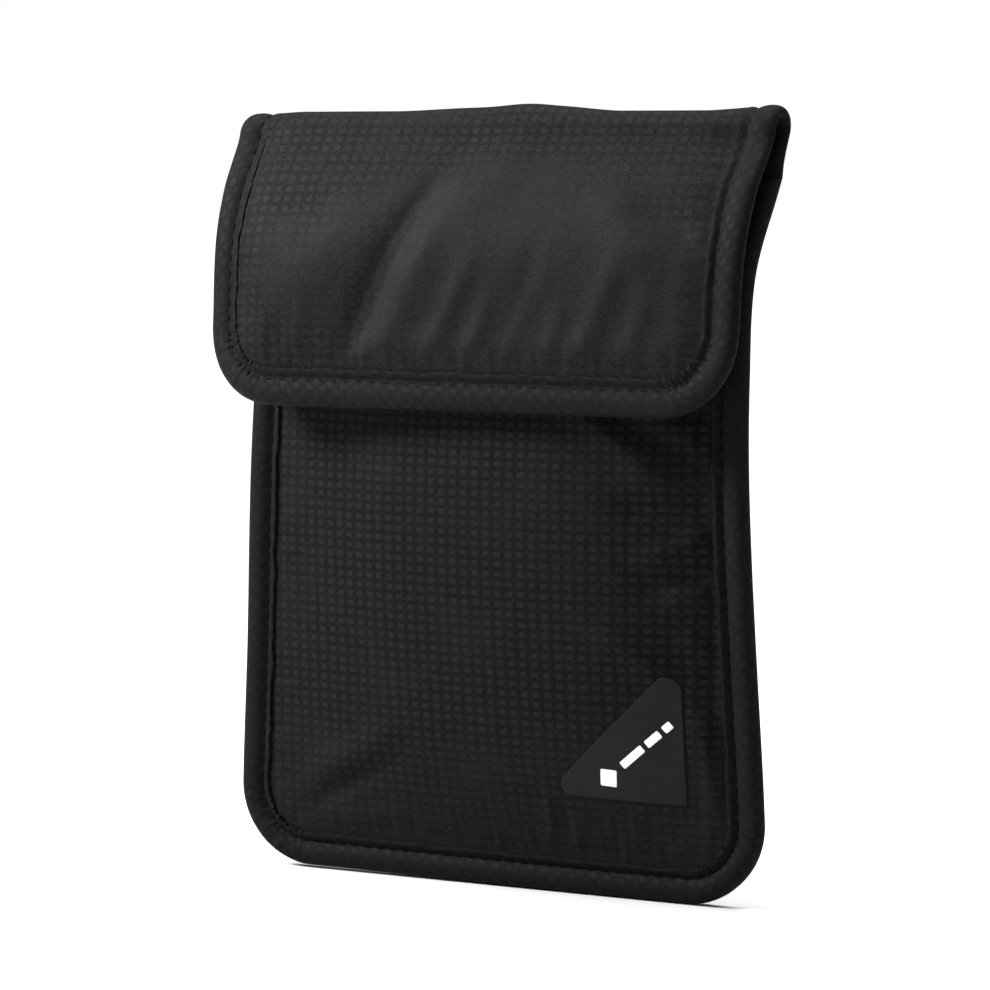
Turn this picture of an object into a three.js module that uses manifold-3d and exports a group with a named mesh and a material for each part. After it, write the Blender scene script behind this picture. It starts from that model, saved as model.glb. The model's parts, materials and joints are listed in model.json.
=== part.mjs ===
// A neck pouch wallet: a soft flat pouch with a fold-over flap, standing on its bottom edge.
// Units are millimetres, +Z is up, the flap side faces -Y. The origin is at the centre of the
// bottom of the whole pouch's box.
import * as THREE from "three";
import { mergeVertices } from "three/addons/utils/BufferGeometryUtils.js";
import Module from "manifold-3d";

const wasm = await Module();
wasm.setup();

// ---------- Driving dimensions ----------
const groundSeamY = 1.155; // the bottom seam's place behind the origin
const cornerRadius = 20; // round lower corners of the body and of the flap
const bindingWidth = 8.5; // binding tape, from its fold to its inner edge
const clothThickness = 0.5; // outer cloth
const gap = 0.3; // air between two neighbouring pieces

const seamInset = 2; // how far inside the bound edge the cloth ends
const bulgeInset = 10.5; // where the filled part of the pouch starts, from the bound edge
const bodyBindingHalf = 2.6; // half the thickness of the body's bound edge
const bodyTapePly = 0.6;
const panelHalf = 1.5; // outer face of each wall from the seam plane, inside the binding
const frontBulge = 10; // how far the front wall swells out
const backBulge = 3; // how far the back wall swells out
const crestOffset = 0.25; // the front swell's highest line, as a share of the half width
const bindingTopZ = 172.7; // the body's binding ends here, below the fold
const mouthZ = 173; // top edge of the front wall's cloth

const foldRadius = 5.1; // the flap's fold, to the middle of its thickness
const foldY = 4.7; // centre of the fold, from the bottom seam
const foldZ = 183.5;
const flapHalfWidth = 74;
const flapBottomZ = 117;
const flapHalf = 1.4; // half the thickness of the padded flap
const flapBindingHalf = 2.2; // half the thickness of the flap's bound edge
const flapTapePly = 0.5;

const zipZ = 160; // centre line of the zip, under the flap
const zipHalfLength = 49;
const zipHalfGap = 4.2; // from the centre line to the cloth's edge on each side
const zipTapeReach = 7; // from the centre line to the edge of the zip's tape
const toothPitch = 2.6;
const toothCount = 35;
const sliderX = 40; // the slider with the zip closed

const ringX = 52; // strap rings on the back, from the middle
const ringPivotZ = 170;

// Heights at which every cloth layer has a row of points, so that neighbours never cross.
const rowHeights = [
  2, 4.5, 8, 13, 20, 32, 46, 60, 74, 88, 102, 116, 128, 138, 147, zipZ - zipHalfGap,
  zipZ + zipHalfGap, 168.5, mouthZ, 178.5, foldZ - gap,
];

// ---------- Materials ----------
const finish = (color, roughness, metalness = 0) =>
  new THREE.MeshStandardMaterial({ color, roughness, metalness });
const outerCloth = finish(0x17181b, 0.72);
const bindingCloth = finish(0x141416, 0.8);
const meshCloth = finish(0x1c1d1f, 0.9);
const liningCloth = finish(0x5d6166, 0.7);
const foilCloth = finish(0x9a9ea3, 0.35, 0.6);
const foam = finish(0x3a3b3d, 0.95);
const webbing = finish(0x18181a, 0.85);
const hookAndLoop = finish(0x101012, 0.95);
const zipNylon = finish(0x1a1a1c, 0.5);
const zipMetal = finish(0x2a2b2e, 0.35, 0.9);
const mouldedPlastic = finish(0x121214, 0.45);
const labelFilm = finish(0x1d1a19, 0.6);

// ---------- Form of the filled pouch ----------
// A smooth curve through [position, value] pairs.
function through(pairs) {
  const slope = pairs.map((_, i) => {
    const before = pairs[Math.max(i - 1, 0)];
    const after = pairs[Math.min(i + 1, pairs.length - 1)];
    return (after[1] - before[1]) / (after[0] - before[0]);
  });
  return (position) => {
    let i = 0;
    while (i < pairs.length - 2 && position > pairs[i + 1][0]) i += 1;
    const [from, start] = pairs[i];
    const [to, end] = pairs[i + 1];
    const t = THREE.MathUtils.clamp((position - from) / (to - from), 0, 1);
    const leave = slope[i] * (to - from) - (end - start);
    const arrive = end - start - slope[i + 1] * (to - from);
    return start + (end - start) * t + t * (1 - t) * (leave * (1 - t) + arrive * t);
  };
}

// The side seams' place in depth: the pouch leans back towards the top.
const seamY = through([
  [0, 0], [50, -1.8], [95, -2.4], [120, -1.2], [150, 2.5], [175, 7], [190, 9.2],
]);
// The filled pouch pulls its sides in at mid height.
const halfWidth = through([
  [0, 72.5], [20, 72.2], [60, 70], [95, 69], [125, 68.6], [150, 69.8], [175, 73], [190, 74],
]);
// How full the front and the back are at each height.
const frontFill = through([
  [bulgeInset, 0], [30, 0.62], [60, 0.95], [92, 1], [125, 0.88], [145, 0.68], [160, 0.48], [175, 0.43],
]);
const backFill = through([[bulgeInset, 0], [40, 0.7], [95, 1], [150, 1], [190, 0.3]]);
// The flap's middle surface in depth, from its bottom edge up to the fold.
const flapY = through([
  [flapBottomZ, -15.8], [128, -14.9], [140, -12.6], [150, -10.2], [160, -7.4], [172, -3.6],
  [foldZ, foldY - foldRadius],
]);

// The front swells softly to its crest, and stays straight along the stiff zip.
function frontSwell(u, z) {
  const reach = u < crestOffset ? 1 + crestOffset : 1 - crestOffset;
  const soft = 1 - ((u - crestOffset) / reach) ** 2;
  const straight = 1 - Math.abs(u) ** 16;
  return THREE.MathUtils.lerp(soft, straight, THREE.MathUtils.smoothstep(z, 122, 150));
}
const acrossFill = (x, z) => THREE.MathUtils.clamp(x / (halfWidth(z) - bulgeInset), -1, 1);
const rise = (fill, z) => (z <= bulgeInset ? 0 : Math.max(0, fill(z)));

// Outer faces of the front wall and of the back wall.
const frontFace = (x, z) =>
  seamY(z) - panelHalf - frontBulge * rise(frontFill, z) * frontSwell(acrossFill(x, z), z);
const backFace = (x, z) =>
  seamY(z) + panelHalf + backBulge * rise(backFill, z) * (1 - acrossFill(x, z) ** 2);

// ---------- Solids ----------
// Moves every point of a geometry and keeps its positions only, as one closed skin.
function reshape(geometry, place) {
  const position = geometry.getAttribute("position");
  const point = new THREE.Vector3();
  for (let i = 0; i < position.count; i += 1) {
    place(point.fromBufferAttribute(position, i));
    position.setXYZ(i, point.x, point.y, point.z);
  }
  geometry.deleteAttribute("normal");
  geometry.deleteAttribute("uv");
  return mergeVertices(geometry, 1e-4);
}

function toSolid(geometry) {
  const skin = reshape(geometry.clone(), () => {});
  return new wasm.Manifold(
    new wasm.Mesh({
      numProp: 3,
      vertProperties: new Float32Array(skin.getAttribute("position").array),
      triVerts: new Uint32Array(skin.index.array),
    }),
  );
}

function join(...geometries) {
  const mesh = geometries.map(toSolid).reduce((whole, next) => whole.add(next)).getMesh();
  const geometry = new THREE.BufferGeometry();
  geometry.setAttribute("position", new THREE.BufferAttribute(mesh.vertProperties, 3));
  geometry.setIndex(new THREE.BufferAttribute(mesh.triVerts, 1));
  return geometry;
}

// A rectangle with round corners, as a shape or as a hole.
function roundRect(Kind, width, height, radius) {
  const [w, h] = [width / 2 - radius, height / 2 - radius];
  const shape = new Kind();
  shape.absarc(w, -h, radius, -Math.PI / 2, 0);
  shape.absarc(w, h, radius, 0, Math.PI / 2);
  shape.absarc(-w, h, radius, Math.PI / 2, Math.PI);
  shape.absarc(-w, -h, radius, Math.PI, 1.5 * Math.PI);
  shape.closePath();
  return shape;
}
const disc = (Kind, x, y, radius) => new Kind().absarc(x, y, radius, 0, 2 * Math.PI);

// Extrudes a shape drawn as (across, up) from y = front to y = back.
function plate(shape, front, back, curveSegments = 4) {
  const depth = back - front;
  const geometry = new THREE.ExtrudeGeometry(shape, { depth, bevelEnabled: false, curveSegments });
  return geometry.rotateX(Math.PI / 2).translate(0, back, 0);
}

// Extrudes a shape drawn as (depth, up) along X, centred on x = 0.
function alongX(shape, length, curveSegments = 4) {
  const options = { depth: length, bevelEnabled: false, curveSegments };
  const geometry = new THREE.ExtrudeGeometry(shape, options);
  return geometry.rotateX(Math.PI / 2).rotateZ(Math.PI / 2).translate(-length / 2, 0, 0);
}

const pouch = new THREE.Group();
pouch.position.y = groundSeamY;

function addTo(group, name, geometry, material) {
  const mesh = new THREE.Mesh(geometry, material);
  mesh.name = name;
  group.add(mesh);
}

// ---------- Cloth layers ----------
const steps = (count, reach) => Array.from({ length: count + 1 }, (_, i) => (reach * i) / count);
const rowsBetween = (low, high) => rowHeights.filter((z) => z >= low && z <= high);

// Half width of an outline with round lower corners, moved in by inset.
function outline(side, bottomZ, z, inset) {
  const above = bottomZ + cornerRadius - z;
  if (above <= 0) return side(z) - inset;
  const radius = cornerRadius - inset;
  return side(z) - cornerRadius + Math.sqrt(Math.max(0, radius * radius - above * above));
}

// A closed sheet over a grid of rows (heights) and columns. place(row, column, face) gives the
// point for face 0, in front, or 1, behind, and both faces share their diagonals.
function gridSheet(rowCount, columnCount, place) {
  const grid = new THREE.PlaneGeometry(1, 1, columnCount - 1, rowCount - 1);
  const total = rowCount * columnCount;
  const at = (row, column) => (rowCount - 1 - row) * columnCount + column;
  const points = new Float32Array(total * 6);
  for (let row = 0; row < rowCount; row += 1) {
    for (let column = 0; column < columnCount; column += 1) {
      [0, 1].forEach((face) => {
        place(row, column, face).toArray(points, (at(row, column) + face * total) * 3);
      });
    }
  }
  const front = Array.from(grid.index.array);
  const back = front.map((corner) => corner + total).reverse();
  const rim = [];
  for (let column = 0; column < columnCount - 1; column += 1) rim.push(at(0, column));
  for (let row = 0; row < rowCount - 1; row += 1) rim.push(at(row, columnCount - 1));
  for (let column = columnCount - 1; column > 0; column -= 1) rim.push(at(rowCount - 1, column));
  for (let row = rowCount - 1; row > 0; row -= 1) rim.push(at(row, 0));
  const sides = rim.flatMap((from, i) => {
    const to = rim[(i + 1) % rim.length];
    return [to, from, from + total, to, from + total, to + total];
  });
  const geometry = new THREE.BufferGeometry();
  geometry.setAttribute("position", new THREE.BufferAttribute(points, 3));
  return geometry.setIndex([...front, ...back, ...sides]);
}

// A sheet whose rows are heights: edges(z) gives the columns from the middle outwards, and
// depth(x, z) gives the front and back faces.
function sheet(rows, edges, depth) {
  const middle = edges(rows[0]).length - 1;
  return gridSheet(rows.length, 2 * middle + 1, (row, column, face) => {
    const z = rows[row];
    const x = Math.sign(column - middle) * edges(z)[Math.abs(column - middle)];
    return new THREE.Vector3(x, depth(x, z)[face], z);
  });
}

// A wall reaches into the binding, and a lining covers the filled part only.
const filledColumns = 5;
function wallEdges(z) {
  const outer = outline(halfWidth, 0, z, seamInset);
  return [...steps(filledColumns, Math.min(halfWidth(z) - bulgeInset, outer * 0.95)), outer];
}
const liningEdges = (z) => steps(filledColumns, halfWidth(z) - bulgeInset);
const cardPocketEdges = (z) => liningEdges(z).slice(0, -1);

const frontCloth = (x, z) => [frontFace(x, z), frontFace(x, z) + clothThickness];
const backCloth = (x, z) => [backFace(x, z) - clothThickness, backFace(x, z)];

// Where the two walls come close, the layers between them are pressed thinner.
const stackDepth = 6.3;
const pressed = (x, z) =>
  Math.min(1, (backFace(x, z) - frontFace(x, z) - 2 * clothThickness) / stackDepth);
const behindFront = (from, to) => (x, z) => {
  const face = frontFace(x, z) + clothThickness;
  return [face + from * pressed(x, z), face + to * pressed(x, z)];
};
const beforeBack = (from, to) => (x, z) => {
  const face = backFace(x, z) - clothThickness;
  return [face - to * pressed(x, z), face - from * pressed(x, z)];
};

function addLayer(name, low, high, edges, depth, material) {
  addTo(pouch, name, sheet(rowsBetween(low, high), edges, depth), material);
}
addLayer("front_panel", 2, zipZ, wallEdges, frontCloth, outerCloth);
addLayer("front_top_strip", zipZ, mouthZ, wallEdges, frontCloth, outerCloth);
addLayer("back_panel", 2, foldZ, wallEdges, backCloth, meshCloth);
addLayer("front_shielding", 20, 147, liningEdges, behindFront(0.3, 0.6), foilCloth);
addLayer("divider_lining", 20, 165, liningEdges, behindFront(1.3, 1.7), liningCloth);
addLayer("back_padding", 20, mouthZ, liningEdges, beforeBack(0.4, 2.1), foam);
addLayer("back_shielding", 20, mouthZ, liningEdges, beforeBack(2.4, 2.7), foilCloth);
addLayer("back_lining", 20, mouthZ, liningEdges, beforeBack(3.0, 3.4), liningCloth);
addLayer("card_pocket", 46, 128, cardPocketEdges, beforeBack(3.7, 4.1), liningCloth);

// ---------- Binding tapes ----------
// The folded tape's section: x is the distance from its fold, y is across the edge it wraps.
function tapeSection(half, width, ply) {
  const round = half * 0.45;
  const rim = 0.2;
  const floor = ply * 1.6;
  const shape = new THREE.Shape();
  shape.moveTo(0, -half + round);
  shape.lineTo(round, -half);
  shape.lineTo(width, -half + rim);
  shape.lineTo(width, -half + ply);
  shape.lineTo(floor, -half + ply);
  shape.lineTo(floor, half - ply);
  shape.lineTo(width, half - ply);
  shape.lineTo(width, half - rim);
  shape.lineTo(round, half);
  shape.lineTo(0, half - round);
  shape.closePath();
  return shape;
}

// A folded tape along stations of { edge, inward, across }.
function tape(section, stations) {
  const count = stations.length - 1;
  const strip = new THREE.ExtrudeGeometry(section, { depth: 1, steps: count, bevelEnabled: false });
  return reshape(strip, (p) => {
    const { edge, inward, across } = stations[Math.round(p.z * count)];
    p.copy(edge.clone().addScaledVector(inward, p.x).addScaledVector(across, p.y));
  });
}
function station(x, depth, z, inX, inZ) {
  const slope = (depth(z + bindingWidth * inZ) - depth(z)) / bindingWidth;
  return {
    edge: new THREE.Vector3(x, depth(z), z),
    inward: new THREE.Vector3(inX, slope, inZ),
    across: new THREE.Vector3(0, -1, 0),
  };
}

// Stations down the left side, round a corner, along the bottom and up the right side.
function edgeStations(side, depth, heights, bottomZ) {
  const cornerSteps = 6;
  const cornerZ = bottomZ + cornerRadius;
  const upper = heights.filter((z) => z > cornerZ + 1).reverse();
  const half = upper.map((z) => [side(z), z, 1, 0]);
  for (let i = 0; i <= cornerSteps; i += 1) {
    const angle = (Math.PI * i) / (2 * cornerSteps);
    const x = side(cornerZ) - cornerRadius * (1 - Math.cos(angle));
    half.push([x, cornerZ - cornerRadius * Math.sin(angle), Math.cos(angle), Math.sin(angle)]);
  }
  const left = half.map(([x, z, inX, inZ]) => station(-x, depth, z, inX, inZ));
  const right = half.map(([x, z, inX, inZ]) => station(x, depth, z, -inX, inZ));
  return [...left, ...right.reverse()];
}

const bodyHeights = [...rowsBetween(20, 169), bindingTopZ];
const bodyTape = tapeSection(bodyBindingHalf, bindingWidth, bodyTapePly);
const bodyStations = edgeStations(halfWidth, seamY, bodyHeights, 0);
addTo(pouch, "body_binding", tape(bodyTape, bodyStations), bindingCloth);

// The mouth's tape folds over the top edge of the front wall.
function mouthStation(x) {
  const low = new THREE.Vector3(x, frontFace(x, 168.5), 168.5);
  const high = new THREE.Vector3(x, frontFace(x, mouthZ), mouthZ);
  const inward = low.sub(high).normalize();
  const across = new THREE.Vector3(0, inward.z, -inward.y);
  const edge = high.addScaledVector(inward, -1.4).addScaledVector(across, -clothThickness / 2);
  return { edge, inward, across };
}
const mouthColumns = liningEdges(mouthZ);
const mouthXs = [...mouthColumns.slice(1).reverse(), ...mouthColumns.map((x) => -x)];
addTo(pouch, "mouth_binding", tape(tapeSection(1, 6, 0.4), mouthXs.map(mouthStation)), bindingCloth);

// The flap's tape runs on over the fold and ends on the back, where the body's tape starts.
const tailTape = tapeSection(1.9, bindingWidth, flapTapePly);
const tailHeights = [bindingTopZ + gap, 178.5, foldZ - gap];
const tailY = (z) => seamY(z) + panelHalf - clothThickness;
const tailStation = (sign) => (z) => station(sign * halfWidth(z), tailY, z, -sign, 0);
const rightTail = tailHeights.map(tailStation(1));
const leftTail = [...tailHeights].reverse().map(tailStation(-1));
addTo(pouch, "flap_binding_tail_right", tape(tailTape, rightTail), bindingCloth);
addTo(pouch, "flap_binding_tail_left", tape(tailTape, leftTail), bindingCloth);

// ---------- Zip, on the slope of the front wall under the flap ----------
const zip = new THREE.Group();
const zipRise = frontFace(0, zipZ + zipTapeReach) - frontFace(0, zipZ - zipTapeReach);
zip.position.set(0, frontFace(0, zipZ), zipZ);
zip.rotation.x = -Math.atan2(zipRise, 2 * zipTapeReach);
pouch.add(zip);

const zipTapeFront = clothThickness + 0.6; // the tape keeps clear of the curved cloth
const zipTapeBack = zipTapeFront + 0.4;
const teethFront = 0.1;

function zipHalf() {
  const innerEdge = 1.5;
  const toothRoot = 2.2;
  const toothBase = 0.9;
  const height = zipTapeReach - innerEdge;
  const cloth = new THREE.BoxGeometry(2 * zipHalfLength, zipTapeBack - zipTapeFront, height);
  cloth.translate(0, (zipTapeFront + zipTapeBack) / 2, innerEdge + height / 2);
  const first = (-(toothCount - 1) * toothPitch) / 2 + toothPitch / 4;
  const last = first + (toothCount - 1) * toothPitch;
  const comb = new THREE.Shape();
  comb.moveTo(first - 0.5, toothRoot);
  for (let i = 0; i < toothCount; i += 1) {
    const x = first + i * toothPitch;
    comb.lineTo(x - 0.5, toothBase);
    comb.lineTo(x - 0.35, -0.5);
    comb.lineTo(x + 0.35, -0.5);
    comb.lineTo(x + 0.5, toothBase);
  }
  comb.lineTo(last + 0.5, toothRoot);
  comb.closePath();
  return join(cloth, plate(comb, teethFront, zipTapeBack - 0.05));
}
addTo(zip, "zip_tape_upper", zipHalf(), zipNylon);
addTo(zip, "zip_tape_lower", zipHalf().rotateY(Math.PI), zipNylon);

// The slider is a channel over the teeth, with a round post that the puller turns on.
const sliderFace = -1.2;
const postRadius = 0.9;
const pullerFront = -2.5;
const pullerBack = -1.5;
function zipSlider() {
  const inside = teethFront - gap;
  const [flange, outer, reach] = [2.5, 3.1, 0.4];
  const channel = new THREE.Shape();
  channel.moveTo(sliderFace, -outer);
  channel.lineTo(sliderFace, outer);
  channel.lineTo(reach, outer);
  channel.lineTo(reach, flange);
  channel.lineTo(inside, flange);
  channel.lineTo(inside, -flange);
  channel.lineTo(reach, -flange);
  channel.lineTo(reach, -outer);
  channel.closePath();
  const post = disc(THREE.Shape, 0, 0, postRadius);
  const head = disc(THREE.Shape, 0, 0, 2 * postRadius);
  return join(
    alongX(channel, 8),
    plate(post, pullerFront - 0.5, sliderFace + 0.2, 6),
    plate(head, pullerFront - 0.9, pullerFront - gap, 6),
  );
}
function zipPuller() {
  const eyeZ = 7;
  const tag = roundRect(THREE.Shape, 5.4, 20, 2.4);
  tag.holes.push(disc(THREE.Path, 0, eyeZ, postRadius + gap));
  return plate(tag, pullerFront, pullerBack, 6).translate(0, 0, -eyeZ);
}
const slider = new THREE.Group();
slider.position.x = sliderX;
zip.add(slider);
addTo(slider, "zip_slider", zipSlider(), zipMetal);
addTo(slider, "zip_puller", zipPuller(), zipMetal);

// ---------- Patches on the front wall ----------
// A thin patch that follows the front wall between two side lines.
function frontPatch(rows, left, right, across, lift, thickness) {
  return gridSheet(rows.length, across + 1, (row, column, face) => {
    const z = rows[row];
    const x = THREE.MathUtils.lerp(left(z), right(z), column / across);
    return new THREE.Vector3(x, frontFace(x, z) - lift - (face ? 0 : thickness), z);
  });
}

// The label is a triangle whose long side faces up and left.
const label = { left: 21, right: 53.7, top: 49, lowZ: 25, highZ: 56.5 };
const labelRows = [25, 27, 32, 39, 46, 52, 55.5];
const labelSide = (z, low, high) =>
  THREE.MathUtils.mapLinear(z, label.lowZ, label.highZ, low, high);
const labelLeft = (z) => labelSide(z, label.left, label.top);
const labelRight = (z) => labelSide(z, label.right, label.top + 0.8);
addTo(pouch, "label_patch", frontPatch(labelRows, labelLeft, labelRight, 4, 0.35, 0.5), labelFilm);

const closureReach = 30;
const loopRows = [124, 128, 131, 134.5, 138];
const loopSide = (sign) => () => sign * closureReach;
addTo(pouch, "loop_patch", frontPatch(loopRows, loopSide(-1), loopSide(1), 8, 0.3, 0.6), hookAndLoop);

// ---------- Strap anchors on the back ----------
const tabWidth = 9;
const ringWire = 2;
const ringSize = { width: 19, height: 12 };
const loopInner = 1.8;
const loopOuter = 2.7;
const ringY = backFace(44, ringPivotZ + 9) + gap + loopOuter; // clear of the wall's swell
function strapTab() {
  const loop = disc(THREE.Shape, 0, 0, loopOuter);
  loop.holes.push(disc(THREE.Path, 0, 0, loopInner));
  const tail = new THREE.Shape();
  tail.moveTo(-loopOuter, 0);
  tail.lineTo(-loopInner, 0);
  tail.lineTo(-loopInner, 10.5);
  tail.lineTo(-loopOuter, 10.5);
  tail.closePath();
  return join(alongX(loop, tabWidth, 6), alongX(tail, tabWidth));
}
function strapRing() {
  const { width, height } = ringSize;
  const frame = roundRect(THREE.Shape, width, height, 2.5);
  frame.holes.push(roundRect(THREE.Path, width - 2 * ringWire, height - 2 * ringWire, 1.2));
  const drop = (height - ringWire) / 2;
  return plate(frame, -ringWire / 2, ringWire / 2, 3).translate(0, 0, -drop);
}
[["left", -ringX], ["right", ringX]].forEach(([side, x]) => {
  const anchor = new THREE.Group();
  anchor.position.set(x, ringY, ringPivotZ);
  pouch.add(anchor);
  addTo(anchor, `strap_tab_${side}`, strapTab(), webbing);
  addTo(anchor, `strap_ring_${side}`, strapRing(), mouldedPlastic);
});

// ---------- Flap ----------
const flapSide = () => flapHalfWidth;
const flapEdges = (inset) => (z) => steps(2, outline(flapSide, flapBottomZ, z, inset));
const flapLayer = (from, to) => (x, z) => [flapY(z) + from, flapY(z) + to];
function flapRows(inset) {
  const above = [inset, inset + 2.5, inset + 6.5, 13, 20, 30, 40, 50, foldZ - gap - flapBottomZ];
  return above.map((height) => flapBottomZ + height);
}
function addFlapLayer(name, inset, from, to, material) {
  addTo(pouch, name, sheet(flapRows(inset), flapEdges(inset), flapLayer(from, to)), material);
}
addFlapLayer("flap_outer", 2, -flapHalf, -flapHalf + clothThickness, outerCloth);
addFlapLayer("flap_padding", 3, -0.6, 0.6, foam);
addFlapLayer("flap_lining", 2, flapHalf - clothThickness, flapHalf, liningCloth);

const flapTape = tapeSection(flapBindingHalf, bindingWidth, flapTapePly);
const flapStations = edgeStations(flapSide, flapY, flapRows(2), flapBottomZ);
addTo(pouch, "flap_binding", tape(flapTape, flapStations), bindingCloth);

// The hook patch faces the loop patch from the inside of the flap.
const hookRows = [126.5, 130, 133, 136.5];
const hookEdges = () => [0, closureReach - 2];
const hookFaces = flapLayer(flapHalf + 0.2, flapHalf + 0.8);
addTo(pouch, "hook_patch", sheet(hookRows, hookEdges, hookFaces), hookAndLoop);

// The fold joins the back wall to the flap over the top.
function foldStrip() {
  const section = new THREE.Shape();
  section.absarc(0, 0, foldRadius + flapHalf, 0, Math.PI);
  section.absarc(0, 0, foldRadius - flapHalf, Math.PI, 0, true);
  section.closePath();
  return alongX(section, 2 * flapHalfWidth, 12).translate(0, foldY, foldZ);
}
addTo(pouch, "flap_fold", foldStrip(), outerCloth);

export default pouch;
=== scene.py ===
"""A neck pouch wallet: a padded black pouch with a bound edge and a flap that folds over its top.

Shapes are worked out in millimetres from the same driving sizes as the CAD model, and made in
metres. The flap side faces -Y, and the pouch stands on its bottom edge.
"""
import json
import math

import bpy
import numpy as np
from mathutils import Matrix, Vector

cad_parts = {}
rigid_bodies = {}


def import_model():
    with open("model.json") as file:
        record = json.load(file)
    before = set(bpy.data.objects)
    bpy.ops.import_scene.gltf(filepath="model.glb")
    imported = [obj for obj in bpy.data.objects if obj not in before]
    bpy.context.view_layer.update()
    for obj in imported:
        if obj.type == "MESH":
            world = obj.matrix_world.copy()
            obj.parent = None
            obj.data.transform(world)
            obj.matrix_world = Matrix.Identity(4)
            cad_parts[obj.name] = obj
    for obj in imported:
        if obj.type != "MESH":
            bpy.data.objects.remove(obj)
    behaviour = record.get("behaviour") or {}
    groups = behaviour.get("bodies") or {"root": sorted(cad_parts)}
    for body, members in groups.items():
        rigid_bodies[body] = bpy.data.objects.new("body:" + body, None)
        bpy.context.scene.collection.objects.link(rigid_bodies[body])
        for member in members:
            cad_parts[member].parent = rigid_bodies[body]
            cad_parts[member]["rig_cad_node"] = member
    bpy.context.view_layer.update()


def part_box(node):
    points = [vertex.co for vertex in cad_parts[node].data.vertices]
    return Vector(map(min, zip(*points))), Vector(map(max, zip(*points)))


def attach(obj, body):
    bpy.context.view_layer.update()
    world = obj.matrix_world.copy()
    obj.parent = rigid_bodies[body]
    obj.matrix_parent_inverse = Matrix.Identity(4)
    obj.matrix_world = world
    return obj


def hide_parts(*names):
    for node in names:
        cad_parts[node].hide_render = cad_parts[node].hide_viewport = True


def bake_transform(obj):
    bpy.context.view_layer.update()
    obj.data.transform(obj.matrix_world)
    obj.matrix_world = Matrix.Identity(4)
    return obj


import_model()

MM = 0.001

# ---------- Driving sizes, in mm ----------
# An inset is measured inwards from a bound edge, and a half is half of a thickness.
GROUND_SEAM_Y = 1.155
CORNER = 20
BINDING_WIDTH = 8.5
CLOTH = 0.5
SEAM_INSET = 2
STITCH_INSET = 6.3
BULGE_INSET = 10.5
PUCKER_INSET = 12
BODY_HALF = 2.6
PANEL_HALF = 1.5
FRONT_BULGE = 10
BACK_BULGE = 3
CREST = 0.25  # where the front is fullest, as a share of its half width
BINDING_TOP = 172.7
MOUTH_Z = 173
FOLD_RADIUS = 5.1
FOLD_Z = 183.5
FLAP_SIDE = 74
FLAP_BOTTOM = 117
FLAP_UPRIGHT_Z = 170  # from here up the flap turns upright for its fold
FLAP_HALF = 1.4
FLAP_BINDING_HALF = 2.2
FLAP_TAPE_WIDTH = 9.2
ZIP_Z = 160
ZIP_HALF_GAP = 4.2
ZIP_HALF_LENGTH = 49
INNER_BOTTOM = 20  # the layers inside start above the lower corners
INNER_DEPTH = 6.3  # the room that they need between the walls
POCKET_WIDTH = 0.8  # the card pocket's, as a share of theirs
STITCH_PITCH = 3.7
SQUARES = (3.16, 2.4)  # the weave's raised squares, across and up


# ---------- Form ----------
def smooth(low, high, value):
    """0 below low, 1 above high, and a smooth rise between them."""
    t = np.clip((np.asarray(value, float) - low) / (high - low), 0, 1)
    return t * t * (3 - 2 * t)


def between(start, end, share):
    return start + (end - start) * share


def through(pairs):
    """A smooth curve through (position, value) pairs."""
    at, value = np.array(pairs, float).T
    before = np.maximum(np.arange(len(at)) - 1, 0)
    after = np.minimum(np.arange(len(at)) + 1, len(at) - 1)
    slope = (value[after] - value[before]) / (at[after] - at[before])

    def curve(position):
        position = np.asarray(position, float)
        i = np.clip(np.searchsorted(at, position) - 1, 0, len(at) - 2)
        step = at[i + 1] - at[i]
        rise = value[i + 1] - value[i]
        t = np.clip((position - at[i]) / step, 0, 1)
        leave = slope[i] * step - rise
        arrive = rise - slope[i + 1] * step
        return value[i] + rise * t + t * (1 - t) * (leave * (1 - t) + arrive * t)

    return curve


seam_line = through([(0, 0), (50, -0.8), (95, -1.9), (120, -0.9), (150, 2.5), (175, 7), (190, 9.2)])
half_width = through([
    (0, 72.8), (20, 72.9), (60, 70.8), (95, 69.3), (125, 68.4), (150, 68.4), (175, 73.5), (190, 74),
])
front_fill = through([
    (BULGE_INSET, 0), (30, 0.62), (60, 0.95), (92, 1), (125, 0.88), (145, 0.68), (160, 0.48),
    (175, 0.43),
])
back_fill = through([(BULGE_INSET, 0), (40, 0.7), (95, 1), (150, 1), (190, 0.3)])
flap_line = through([
    (FLAP_BOTTOM, -15.8), (128, -14.9), (140, -12.6), (150, -10.2), (160, -7.4), (172, -3.6),
    (FOLD_Z, -0.4),
])


def seam_y(z):
    return seam_line(z) + GROUND_SEAM_Y


def wander(t, seed):
    """A smooth irregular wave between about -1 and 1, the same each time."""
    t = np.asarray(t, float)
    waves = [(1.0, 0.45), (1.618, 0.3), (2.414, 0.25)]
    return sum(size * np.sin(t * rate + seed * (k + 1) * 1.7) for k, (rate, size) in enumerate(waves))


def fold(x, z, start, end, width, height, bend):
    """A soft fold in cloth: a rounded ridge from start to end that fades out at its ends."""
    run = np.array(end, float) - start
    length = np.hypot(*run)
    dx, dz = x - start[0], z - start[1]
    t = (dx * run[0] + dz * run[1]) / length**2
    aside = (dx * run[1] - dz * run[0]) / length + bend * 4 * t * (1 - t)
    fade = smooth(-0.2, 0.3, t) * (1 - smooth(0.7, 1.2, t))
    return height * np.exp(-((aside / width) ** 2)) * fade


def edge_inset(x, up, side):
    """How far inside a bound edge a point is. The edge's lower corners are round."""
    dx = np.maximum(np.abs(x) - (side - CORNER), 0)
    dz = np.maximum(CORNER - up, 0)
    straight = np.minimum(side - np.abs(x), up)
    return np.where((dx > 0) & (dz > 0), CORNER - np.hypot(dx, dz), straight)


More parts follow.
